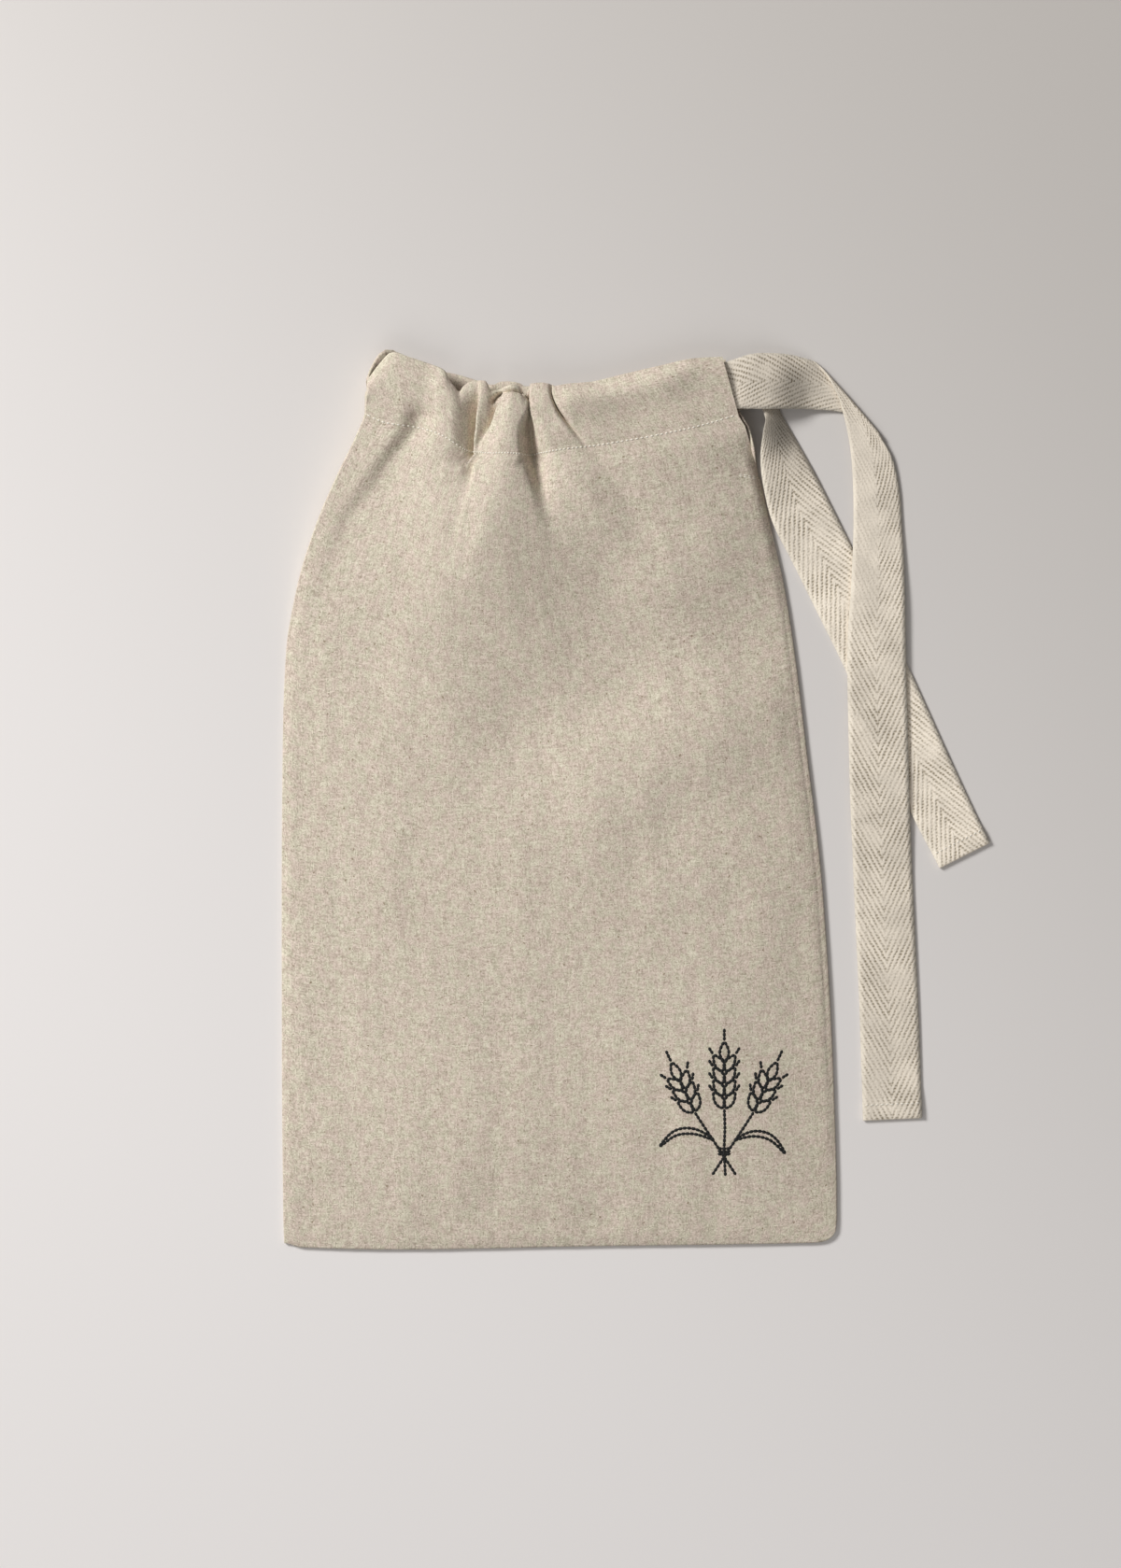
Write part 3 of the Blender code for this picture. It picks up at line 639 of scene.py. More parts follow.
@dataclass
class BagShape:
    """Where every point of the bag's cloth lies, in mm."""

    width: float = 250.0
    panel_length: float = 361.0  # of the cut, from the bottom to the stitch line
    casing_deep: float = 31.0  # of the cut, from the stitch line to the rim
    cloth_thick: float = 0.6

    # heights of the panels and slopes at their edges
    back_z: float = 0.4
    front_z: float = 12.3
    pouch_z: float = 7.0
    seam_z: float = 1.35
    least_gap: float = 0.9  # between the panels
    lifted_y: float = 70.0
    edge_roll: float = 5.0
    edge_rise: float = 60.0
    left_rise: float = 100.0
    roll_share: float = 0.12
    high_roll_share: float = 0.3
    steeper: Pair = (40.0, 120.0)  # along the right edge
    drawn_in: Pair = (20.0, 170.0)
    relief_reach: float = 14.0  # in from an edge
    relief_full_y: float = 130.0
    crumple_reach: float = 7.0

    # left fold
    fold_stretch: float = 0.14
    fold_reach: float = 10.0
    fold_length: float = 12.0
    fold_opens: Pair = (60.0, 172.0)

    # seam and slit
    seam_inset: float = 2.2
    seam_deep: float = 0.22
    seam_wide: float = 0.7
    seam_shows: Pair = (-140.0, -110.0)
    seam_fades: Pair = (80.0, 105.0)
    slit_foot_y: float = 148.0
    slit_top_y: float = 174.0
    slit_curl: float = 9.4
    slit_curl_wide: float = 9.0
    slit_curl_along: Pair = (2.0, 16.0)  # up from the slit's foot
    slit_curl_up: float = 0.14  # of the casing
    back_edge_out: float = 1.6
    back_edge_from: float = 0.8  # of the width
    back_edge_ease: float = 20.0

    # gathered back
    back_lift_y: Pair = (120.0, 175.0)
    back_lift_edge: float = 20.0
    back_fold_high: float = 0.9
    back_fold_pace: float = 0.31  # radians for each mm across

    # casing and the layers inside it
    rim_radius: float = 1.3
    ply: float = 1.35  # from one layer to the next
    least_plies: float = 5.0  # layers that share the height where it is low
    ply_reach: float = 2.0  # round a place, where a layer keeps under the cloth
    ply_inward: float = 1.3
    hem_layer: float = 2.0
    hem_edge_layer: float = 0.65
    hem_edge: float = 0.12  # of the casing
    puff_high: float = 4.0
    puff_up: float = 2.8
    puff_least: float = 0.3
    puff_starts: Pair = (-4.0, 6.0)
    puff_ends: Pair = (44.0, 66.0)
    groove_deep: float = 0.9
    groove_wide: float = 4.0
    ridge_end: tuple[float, float, float, float] = (-21.6, 179.8, 8.8, 6.6)
    ridge_end_deep: float = 4.2
    ridge_end_wide: float = 1.0
    ridge_end_ease: float = 0.5

    # mouth's left corner
    corner_reach: float = 10.0
    corner_high: float = 8.0
    corner_long: float = 4.8
    corner_starts: float = 5.0
    corner_ends: Pair = (18.0, 26.0)

    # the cut over the rim, and the columns of cloth
    rim_row: float = 0.7
    rim_long: float = 4.0
    hem_row: float = 3.5
    first_column: float = 0.6
    first_columns_to: float = 12.0
    plain_column: float = 1.75
    gathered_column: float = 0.86
    gathers_start: Pair = (16.0, 34.0)
    gathers_end: Pair = (166.0, 190.0)
    last_column: float = 241.5
    fold_columns: int = 18

    def __post_init__(self) -> None:
        """Make the smooth curves through the tables."""
        self.left = table_curve(OUTLINE, "y", "left_x")
        self.right = table_curve(OUTLINE, "y", "right_x")
        self.bottom = table_curve(BOTTOM, "flat", "y")
        self.gather = {name: table_curve(GATHERS, "flat", name) for name in Gather._fields[1:]}
        self.pleats = PleatField(PLEATS, OVERLAPS)
        self.reliefs = (self.pleats, *(Line(fold) for fold in FOLDS), *SWELLS, *FRONT_CRUMPLES)

    def relief(self, x: float, y: float) -> float:
        """Work out the height that pleats, folds, swells and crumples add to the front.

        Args:
            x: place across the bag.
            y: place along the bag.

        Returns:
            The height, below zero in a hollow.
        """
        return sum(relief.rise_at(x, y) for relief in self.reliefs) - self.end_groove(x, y)

    def end_groove(self, x: float, y: float) -> float:
        """Draw the line round the upper end of the big ridge, which stands before the rim.

        Args:
            x: place across the bag.
            y: place along the bag.

        Returns:
            The depth of the line.
        """
        centre_x, centre_y, reach_x, reach_y = self.ridge_end
        across, along = (x - centre_x) / reach_x, (y - centre_y) / reach_y
        away = (math.hypot(across, along) - 1.0) * 0.5 * (reach_x + reach_y)
        line = math.exp(-(away / self.ridge_end_wide) ** 2)
        return self.ridge_end_deep * smooth(along / self.ridge_end_ease) * line

    def panel_place(self, flat: float, up: float) -> Pair:
        """Find a plan place on the panels.

        Args:
            flat: place across the flat panel, from the left fold.
            up: from 0 at the bottom to 1 at the stitch line.

        Returns:
            The places across and along the bag.
        """
        stitch_x = self.gather["stitch_x"]
        y = mix(self.bottom(flat), self.gather["stitch_y"](flat), up)
        low, high = stitch_x(0.0), stitch_x(self.width)
        drawn = (stitch_x(flat) - low) / (high - low)
        share = mix(flat / self.width, drawn, ease(y, *self.drawn_in))
        return mix(self.left(y), self.right(y), share), y

    def rise_from_edge(self, distance: float, reach: float, share: float) -> float:
        """Work out the share of its full height that the front has at a distance from an edge.

        Args:
            distance: how far in from the edge.
            reach: how far in the long slope runs.
            share: how much of the height the short roll at the edge gains.

        Returns:
            The share of the full height.
        """
        roll = math.sin(0.5 * math.pi * min(1.0, max(0.0, distance) / self.edge_roll))
        slope = math.sin(0.5 * math.pi * min(1.0, max(0.0, distance) / reach))
        return mix(slope, roll, share)

    def fold_z(self, y: float) -> float:
        """Height of the front's cloth over the left fold at a place along the bag."""
        return mix(self.seam_z, self.front_z, ease(y, *self.fold_opens))

    def front_height(self, flat: float, up: float) -> float:
        """Work out the height of the front panel below the stitch line.

        Args:
            flat: place across the flat panel, from the left fold.
            up: from 0 at the bottom to 1 at the stitch line.

        Returns:
            The height.
        """
        x, y = self.panel_place(flat, up)
        stitch_y = self.gather["stitch_y"](flat)
        from_right, from_left, from_bottom = self.right(y) - x, x - self.left(y), y - self.bottom(flat)
        open_right = ease(y, self.slit_foot_y, self.slit_top_y)
        crown = mix(self.pouch_z, self.front_z, ease(y, self.lifted_y, stitch_y))
        steep = mix(self.roll_share, self.high_roll_share, ease(y, *self.steeper))
        sides = ((mix(self.seam_z, self.front_z, open_right), from_right, self.edge_rise, steep),
                 (self.fold_z(y), from_left, self.left_rise, self.roll_share),
                 (self.seam_z, from_bottom, self.edge_rise, self.roll_share))
        height = crown
        for low, distance, reach, share in sides:
            height = mix(low, height, self.rise_from_edge(distance, reach, share))
        near = smooth(min(from_right, from_left, from_bottom) / self.relief_reach)
        height += self.relief(x, y) * mix(near, 1.0, ease(y, self.relief_full_y, stitch_y))
        height -= self.stitch_groove(stitch_y - y) + self.seam_groove(from_right, y)
        at_seam = math.exp(-from_right / self.crumple_reach) * (1.0 - open_right)
        height += SEAM_CRUMPLE.rise_at(x, y) * at_seam
        height += FOOT_CRUMPLE.rise_at(x, y) * math.exp(-from_bottom / self.crumple_reach)
        return max(height, self.back_z + self.least_gap)

    def seam_groove(self, distance: float, y: float) -> float:
        """Depth of the thin line that the seam presses just inside the right edge."""
        along = ease(y, *self.seam_shows) * (1.0 - ease(y, *self.seam_fades))
        return self.seam_deep * along * math.exp(-((distance - self.seam_inset) / self.seam_wide) ** 2)

    def layer_point(self, column: Column, x: float, y: float, front: float, back: float) -> Vector:
        """Place a point of one layer, swung round the left fold where the column is part of it.

        Args:
            column: the column of cloth.
            x: plan place of the layer's column.
            y: plan place along the bag.
            front: the layer's height on the front.
            back: the layer's height on the back.

        Returns:
            The point.
        """
        inset = (1.0 - smooth(column.flat / self.fold_reach)) * 0.5 * (self.fold_z(y) - self.back_z)
        out = 0.5 * (front - back) * math.sin(math.pi * column.turn)
        height = mix(back, front, 0.5 - 0.5 * math.cos(math.pi * column.turn))
        return Vector((x + self.fold_stretch * (inset - out), y, height))

    def edge_shift(self, column: Column, y: float) -> float:
        """How far the back panel's slit edge shows past the front one."""
        near = ease(column.flat / self.width, self.back_edge_from, 1.0) * (1.0 - column.turn)
        return self.back_edge_out * near * smooth((y - self.slit_foot_y) / self.back_edge_ease)

    def slit_lift(self, column: Column, y: float) -> float:
        """How far the back panel's edge curls up in the slit."""
        near = smooth(1.0 - (self.width - column.flat) / self.slit_curl_wide) * (1.0 - column.turn)
        return self.slit_curl * near * ease(y - self.slit_foot_y, *self.slit_curl_along)

    def casing_place(self, column: Column, up: float) -> Pair:
        """Find a plan place on the casing.

        Args:
            column: the column of cloth.
            up: from 0 at the stitch line to 1 at the rim's turn.

        Returns:
            The places across and along the bag.
        """
        flat, gather = column.flat, self.gather
        stitch_y = gather["stitch_y"](flat)
        rim_x = mix(gather["back_rim_x"](flat), gather["rim_x"](flat), column.turn)
        rim_y = mix(gather["back_rim_y"](flat), gather["rim_y"](flat), column.turn) - self.rim_radius
        y = mix(stitch_y, rim_y, up)
        bow = self.left(y) - mix(self.left(stitch_y), self.left(rim_y), up)
        x = mix(gather["stitch_x"](flat), rim_x, up)
        return x + bow * (1.0 - smooth(flat / self.fold_reach)) + self.edge_shift(column, y), y

    def back_height(self, column: Column, x: float, y: float) -> float:
        """Work out the back's height, which lifts in small folds near the mouth.

        Args:
            column: the column of cloth.
            x: place across the bag.
            y: place along the bag.

        Returns:
            The height.
        """
        from_side = min(column.flat, self.width - column.flat)
        fade = ease(y, *self.back_lift_y) * smooth(from_side / self.back_lift_edge)
        fold = 0.5 + 0.5 * math.sin(column.flat * self.back_fold_pace)
        return self.back_z + fade * (self.back_fold_high * fold + BACK_CRUMPLE.rise_at(x, y))

    def puff(self, x: float, up: float) -> float:
        """How far the casing swells above its stitch line, where the tape fills it."""
        full = mix(self.puff_least, 1.0, ease(x, *self.puff_starts) * (1.0 - ease(x, *self.puff_ends)))
        return self.puff_high * full * math.sin(math.pi * min(1.0, max(0.0, up)) ** self.puff_up)

    def stitch_groove(self, away: float) -> float:
        """Depth that the casing's stitches draw the front down, at a distance from their line."""
        return self.groove_deep * math.exp(-(away / self.groove_wide) ** 2)

    def corner_lip(self, column: Column, up: float) -> float:
        """Stand the back's rim up past the front's at the mouth's left corner.

        Args:
            column: the column of cloth.
            up: from 0 at the stitch line to 1 at the rim's turn.

        Returns:
            The height.
        """
        near = smooth(column.flat / self.corner_starts) * (1.0 - ease(column.flat, *self.corner_ends))
        below = (1.0 - up) * (self.gather["back_rim_y"](column.flat) - self.gather["stitch_y"](column.flat))
        return self.corner_high * near * (1.0 - smooth(below / self.corner_long))

    def lean(self, column: Column, x: float, y: float) -> float:
        """How far an overlap carries the front's cloth to the left at a place."""
        return self.pleats.lean_at(x, y) if column.turn == 1.0 else 0.0

    def outer(self, column: Column, up: float) -> Vector:
        """Place a point of the casing's outer cloth.

        Args:
            column: the column of cloth.
            up: from 0 at the stitch line to 1 at the rim's turn.

        Returns:
            The point.
        """
        x, y = self.casing_place(column, up)
        front = self.front_z + self.relief(x, y) + self.puff(x, up)
        front -= self.stitch_groove(up * self.casing_deep)
        back = self.back_height(column, x, y) + self.corner_lip(column, up)
        back += self.slit_lift(column, y) * (1.0 - ease(up, 0.0, self.slit_curl_up))
        return self.layer_point(column, x - self.lean(column, x, y), y, front, back)

    def inner(self, column: Column, up: float, layer: float) -> Vector:
        """Place a point of the tape or the hem inside the casing, under the lowest cloth near it.

        Args:
            column: the column of cloth.
            up: from 0 at the stitch line to 1 at the rim's turn.
            layer: how many layers in from the outer cloth, 1 for the tape and 2 for the hem.

        Returns:
            The point.
        """
        x, y = self.casing_place(column, up)
        reach = self.ply_reach
        near = ((0.0, 0.0), (-reach, 0.0), (reach, 0.0), (0.0, -reach), (0.0, reach))
        front = self.front_z + min(self.relief(x + across, y + along) for across, along in near)
        front -= self.stitch_groove(up * self.casing_deep)
        back = self.back_height(column, x, y) + self.corner_lip(column, up)
        ply = layer * min(self.ply, (front - back) / self.least_plies)
        inward = self.ply_inward * layer * (1.0 - smooth(column.flat / self.corner_reach))
        return self.layer_point(column, x + inward, y, front - ply, back + ply)

    def panel(self, column: Column, up: float) -> Vector:
        """Place a point of the panels below the stitch line.

        Args:
            column: the column of cloth.
            up: from 0 at the bottom to 1 at the stitch line.

        Returns:
            The point.
        """
        x, y = self.panel_place(column.flat, up)
        x += self.edge_shift(column, y)
        back = self.back_height(column, x, y) + self.slit_lift(column, y)
        front = self.front_height(column.flat, up) if column.turn > 0.0 else back
        return self.layer_point(column, x - self.lean(column, x, y), y, front, back)

    def rim(self, column: Column, share: float) -> Vector:
        """Place a point of the rim, where the cloth turns over into the hem.

        Args:
            column: the column of cloth.
            share: from 0 on the outside to 1 on the inside.

        Returns:
            The point.
        """
        angle = math.pi * share
        turned = self.outer(column, 1.0).lerp(self.inner(column, 1.0, self.hem_layer),
                                              0.5 - 0.5 * math.cos(angle))
        turned.y += self.rim_radius * math.sin(angle)
        return turned

    def point(self, column: Column, row: Row) -> Vector:
        """Place the point where a column and a row of the cloth meet.

        Args:
            column: the column of cloth.
            row: the row of cloth.

        Returns:
            The point.
        """
        if row.kind is RowKind.PANEL:
            return self.panel(column, row.share)
        if row.kind is RowKind.CASING:
            return self.outer(column, row.share)
        if row.kind is RowKind.RIM:
            return self.rim(column, row.share)
        layer = mix(self.hem_edge_layer, self.hem_layer, smooth(row.share / self.hem_edge))
        return self.inner(column, row.share, layer)

    def rows(self) -> list[Row]:
        """List the rows from the bottom to the hem's raw edge, closer at edges and gathers.

        Returns:
            The rows.
        """
        length, deep = self.panel_length, self.casing_deep
        top = length + deep
        rows = [Row(RowKind.PANEL, away / length, away) for away in PANEL_ROWS]
        rows += [Row(RowKind.CASING, share, length + deep * share) for share in CASING_ROWS]
        rows += [Row(RowKind.RIM, share, top + self.rim_row * i) for i, share in enumerate(RIM_ROWS, 1)]
        rows += [Row(RowKind.HEM, share, top + self.rim_long + self.hem_row * i)
                 for i, share in enumerate(HEM_ROWS)]
        return rows

    def columns(self) -> list[Column]:
        """List the columns across the front from the slit, round the left fold and across the back.

        Returns:
            The columns.
        """
        flats = [0.0]
        while flats[-1] < self.last_column:
            gathered = ease(flats[-1], *self.gathers_start) * (1.0 - ease(flats[-1], *self.gathers_end))
            step = mix(self.plain_column, self.gathered_column, gathered)
            flats.append(flats[-1] + (self.first_column if flats[-1] < self.first_columns_to else step))
        columns = [Column(flat, 1.0, self.width - flat) for flat in reversed(flats + list(SLIT_COLUMNS))]
        for i in range(1, self.fold_columns):
            share = i / self.fold_columns
            columns.append(Column(0.0, 1.0 - share, self.width + self.fold_length * share))
        return columns + [Column(flat, 0.0, self.width + self.fold_length + flat) for flat in BACK_COLUMNS]


# -------- making meshes
def new_piece(name: str, mesh: BMesh, material: Material) -> Object:
    """Put a bmesh into the scene as a smooth-shaded object at the origin.

    Args:
        name: the piece's name.
        mesh: its mesh, in metres, which is freed.
        material: its finish.

    Returns:
        The new object.
    """
    for face in mesh.faces:
        face.smooth = True
    data = bpy.data.meshes.new(name)
    mesh.to_mesh(data)
    mesh.free()
    data.materials.append(material)
    piece = bpy.data.objects.new(name, data)
    bpy.context.scene.collection.objects.link(piece)
    return piece


def thicken(piece: Object, thickness: float) -> None:
    """Give a sheet its thickness, half to each side.

    Args:
        piece: the sheet.
        thickness: in mm.
    """
    solidify = piece.modifiers.new("Thickness", "SOLIDIFY")
    solidify.thickness = thickness * MM
    solidify.offset = 0.0


def lay_grid(mesh: BMesh, points: Sequence[Sequence[Vector]],
             cut: Sequence[Sequence[Pair]]) -> list[list[BMVert]]:
    """Lay a grid of cloth through rows of points, with the flat cut as its UV map.

    Args:
        mesh: the empty bmesh to lay it in.
        points: rows of points in mm.
        cut: for each point, its place across and along the flat cut, in mm.

    Returns:
        The grid's vertices, row by row.
    """
    wide, tall = len(points[0]) - 1, len(points) - 1
    made = bmesh.ops.create_grid(mesh, x_segments=wide, y_segments=tall, size=1.0, calc_uvs=False)
    grid: list[list[BMVert]] = [[None] * (wide + 1) for _ in range(tall + 1)]
    place: dict[BMVert, tuple[int, int]] = {}
    for vert in made["verts"]:
        i, j = round((vert.co.x + 1.0) / 2.0 * wide), round((vert.co.y + 1.0) / 2.0 * tall)
        grid[j][i] = vert
        place[vert] = (i, j)
    layer = mesh.loops.layers.uv.new("cut")
    for face in mesh.faces:
        for loop in face.loops:
            i, j = place[loop.vert]
            loop[layer].uv = (cut[j][i][0] * MM, cut[j][i][1] * MM)
    for j, row in enumerate(points):
        for i, point in enumerate(row):
            grid[j][i].co = point * MM
    return grid


def edges_between(chain: Sequence[BMVert]) -> list[BMEdge]:
    """Find the edges that join a chain of vertices."""
    pairs = zip(chain, chain[1:])
    return [edge for a, b in pairs for edge in a.link_edges if edge.other_vert(a) is b]


AddNode = Callable[..., Node]


def add_node(tree: NodeTree, kind: str, settings: dict[Any, Any] | None = None,
             links: dict[Any, Any] | None = None) -> Node:
    """Add a node with its settings and its links.

    Args:
        tree: the node tree.
        kind: the node's type, without the "ShaderNode" that starts them all.
        settings: properties and unlinked inputs, by name or by input number.
        links: what feeds its inputs, by name or by input number: a socket, or a node, which
            stands for the first output that it has in use.

    Returns:
        The new node.
    """
    node = tree.nodes.new("ShaderNode" + kind)
    for name, value in (settings or {}).items():
        if isinstance(name, str) and hasattr(node, name):
            setattr(node, name, value)
        else:
            node.inputs[name].default_value = value
    for name, source in (links or {}).items():
        if isinstance(source, Node):
            source = next(socket for socket in source.outputs if socket.enabled)
        tree.links.new(source, node.inputs[name])
    return node


def new_material(name: str, constants: dict[str, float]) -> Material:
    """Start a material.

    Args:
        name: what the material is.
        constants: what is the same all over it, by the shader's own socket names.

    Returns:
        The material.
    """
    material = bpy.data.materials.new(name)
    material.use_nodes = True
    for socket, value in constants.items():
        material.node_tree.nodes["Principled BSDF"].inputs[socket].default_value = value
    return material


def finish_material(material: Material, colour: Node, bump: Node) -> None:
    """Link a material's colour and its bump to its shader.

    Args:
        material: the material.
        colour: the mix that gives its colour.
        bump: the bump that gives its direction of surface.
    """
    shader = material.node_tree.nodes["Principled BSDF"]
    material.node_tree.links.new(colour.outputs[2], shader.inputs["Base Color"])
    material.node_tree.links.new(bump.outputs["Normal"], shader.inputs["Normal"])


def linear(hex_colour: str) -> tuple[float, float, float, float]:
    """Turn an sRGB hex colour to linear.

    Args:
        hex_colour: six digits after a hash.

    Returns:
        Linear red, green, blue and an alpha of 1.
    """
    parts = [int(hex_colour[i:i + 2], 16) / 255.0 for i in (1, 3, 5)]
    red, green, blue = (c / 12.92 if c <= 0.04045 else ((c + 0.055) / 1.055) ** 2.4 for c in parts)
    return red, green, blue, 1.0


# -------- finishes
CLOTH_SHINE = {"Specular IOR Level": 0.2, "Sheen Weight": 0.1, "Sheen Roughness": 0.5}


@dataclass(frozen=True)
class LinenFinish:
    """Washed flax linen in plain weave, unbleached.

    Hand-fine threads of uneven thickness cross one over, one under. That gives the eye a dry
    salt-and-pepper grain at the size of one crossing, faint short streaks both ways where a
    thread runs thick, and a few brown flecks of stalk. It is matt, with a faint haze of fibre.
    """

    name: str = "washed flax linen, plain weave"
    dark: str = "#A3957D"
    thread: str = "#CBC0AD"
    pale: str = "#E8E0D0"
    green: str = "#CDC7B1"
    pink: str = "#DBC6BA"
    fleck: str = "#7E6C52"
    pitch: float = 0.5  # mm between threads
    streak: float = 5.0  # mm that a thick stretch of thread runs
    wander: float = 30.0  # mm over which threads drift sideways
    drift: float = 2.4  # mm that they drift
    haze: float = 1.1  # mm across a tuft of loose fibre
    tint: float = 6.0  # mm across a patch of greener or pinker flax
    band: float = 14.0  # mm across a band of paler or darker threads
    speck: float = 2.0  # mm from one place for a fleck of stalk to the next
    crease: float = 9.0  # mm across the small creases left by washing
    thread_parts: float = 7.31  # steps through the noise from one thread to the next
    weights: tuple[float, float, float] = (0.75, 0.1, 0.6)  # of streaks, haze and crossings
    tones: Pair = (0.56, 1.62)  # grain at the dark and the pale colour
    bands: Pair = (0.93, 1.05)
    tinted: float = 0.55
    roughness: float = 0.9

    def grain(self, add: AddNode, cut: Node) -> Node:
        """Work out how much thread stands at each place.

        Args:
            add: adds a node to the material.
            cut: the place on the flat cut.

        Returns:
            The node that gives the amount.
        """
        drift = add("TexNoise", {"noise_dimensions": "2D", "Scale": 1.0 / (self.wander * MM), "Detail": 2.0},
                    {"Vector": cut})
        moved = add("VectorMath", {"operation": "MULTIPLY_ADD", 1: (self.drift * MM, self.drift * MM, 0.0)},
                    {0: drift.outputs["Color"], 2: cut})
        threads = add("VectorMath", {"operation": "SCALE", "Scale": 1.0 / (self.pitch * MM)}, {0: moved})
        whole = add("VectorMath", {"operation": "FLOOR"}, {0: threads})
        crossing = add("TexWhiteNoise", {"noise_dimensions": "2D"}, {"Vector": whole})
        count = add("SeparateXYZ", {}, {"Vector": whole})
        place = add("SeparateXYZ", {}, {"Vector": threads})
        thick = []
        for number, along in (("X", "Y"), ("Y", "X")):
            apart = add("Math", {"operation": "MULTIPLY", 1: self.thread_parts}, {0: count.outputs[number]})
            run = add("Math", {"operation": "MULTIPLY", 1: self.pitch / self.streak},
                      {0: place.outputs[along]})
            spot = add("CombineXYZ", {}, {"X": apart, "Y": run})
            thick.append(add("TexNoise", {"noise_dimensions": "2D", "Scale": 1.0, "Detail": 2.0,
                                          "Roughness": 0.6}, {"Vector": spot}))
        both = add("Math", {"operation": "ADD"}, {0: thick[0], 1: thick[1]})
        soft = add("TexNoise", {"noise_dimensions": "2D", "Scale": 1.0 / (self.haze * MM), "Detail": 2.0},
                   {"Vector": cut})
        streaks, haze, crossings = self.weights
        faint = add("Math", {"operation": "MULTIPLY", 1: streaks}, {0: both})
        lumpy = add("Math", {"operation": "MULTIPLY_ADD", 1: haze}, {0: soft, 2: faint})
        return add("Math", {"operation": "MULTIPLY_ADD", 1: crossings}, {0: crossing, 2: lumpy})

    def colour(self, add: AddNode, cut: Node, grain: Node) -> Node:
        """Colour the grain.

        Args:
            add: adds a node to the material.
            cut: the place on the flat cut.
            grain: how much thread stands there.

        Returns:
            The node that gives the colour.
        """
        low, high = self.tones
        tone = add("MapRange", {"From Min": low, "From Max": high}, {"Value": grain})
        ramp = add("ValToRGB", {}, {"Fac": tone})
        stops = ramp.color_ramp.elements
        stops[0].position, stops[0].color = 0.0, linear(self.dark)
        stops[1].position, stops[1].color = 1.0, linear(self.pale)
        middle = stops.new(0.5)
        middle.color = linear(self.thread)
        patch = add("TexNoise", {"noise_dimensions": "2D", "Scale": 1.0 / (self.tint * MM), "Detail": 4.0,
                                 "Roughness": 0.75}, {"Vector": cut})
        share = add("MapRange", {"From Min": 0.4, "From Max": 0.6}, {"Value": patch})
        hue = add("Mix", {"data_type": "RGBA", 6: linear(self.green), 7: linear(self.pink)}, {0: share})
        tinted = add("Mix", {"data_type": "RGBA", "blend_type": "COLOR", 0: self.tinted}, {6: ramp, 7: hue})
        stretched = add("VectorMath", {"operation": "MULTIPLY", 1: (1.0, 0.12, 1.0)}, {0: cut})
        broad = add("TexNoise", {"noise_dimensions": "2D", "Scale": 1.0 / (self.band * MM), "Detail": 5.0,
                                 "Roughness": 0.75}, {"Vector": stretched})
        low, high = self.bands
        shade = add("MapRange", {"From Min": 0.3, "From Max": 0.7, "To Min": low, "To Max": high},
                    {"Value": broad})
        toned = add("Mix", {"data_type": "RGBA", "blend_type": "MULTIPLY", 0: 1.0}, {6: tinted, 7: shade})
        specks = add("TexNoise", {"noise_dimensions": "2D", "Scale": 1.0 / (self.speck * MM), "Detail": 1.0},
                     {"Vector": cut})
        found = add("MapRange", {"From Min": 0.76, "From Max": 0.82, "To Min": 0.0, "To Max": 0.7},
                    {"Value": specks})
        return add("Mix", {"data_type": "RGBA", 7: linear(self.fleck)}, {0: found, 6: toned})

    def build(self) -> Material:
        """Make the material.

        Returns:
            The material, which reads the piece's own UV map, the flat cut in metres.
        """
        material = new_material(self.name, {"Roughness": self.roughness, **CLOTH_SHINE})
        add = partial(add_node, material.node_tree)
        cut = add("UVMap", {"uv_map": "cut"})
        grain = self.grain(add, cut)
        weave = add("Bump", {"Strength": 0.3, "Distance": 0.12 * MM}, {"Height": grain})
        creases = add("TexNoise", {"noise_dimensions": "2D", "Scale": 1.0 / (self.crease * MM), "Detail": 4.0,
                                   "Distortion": 0.5}, {"Vector": cut})
        crumple = add("Bump", {"Strength": 0.14, "Distance": 0.8 * MM}, {"Height": creases, "Normal": weave})
        finish_material(material, self.colour(add, cut, grain), crumple)
        return material


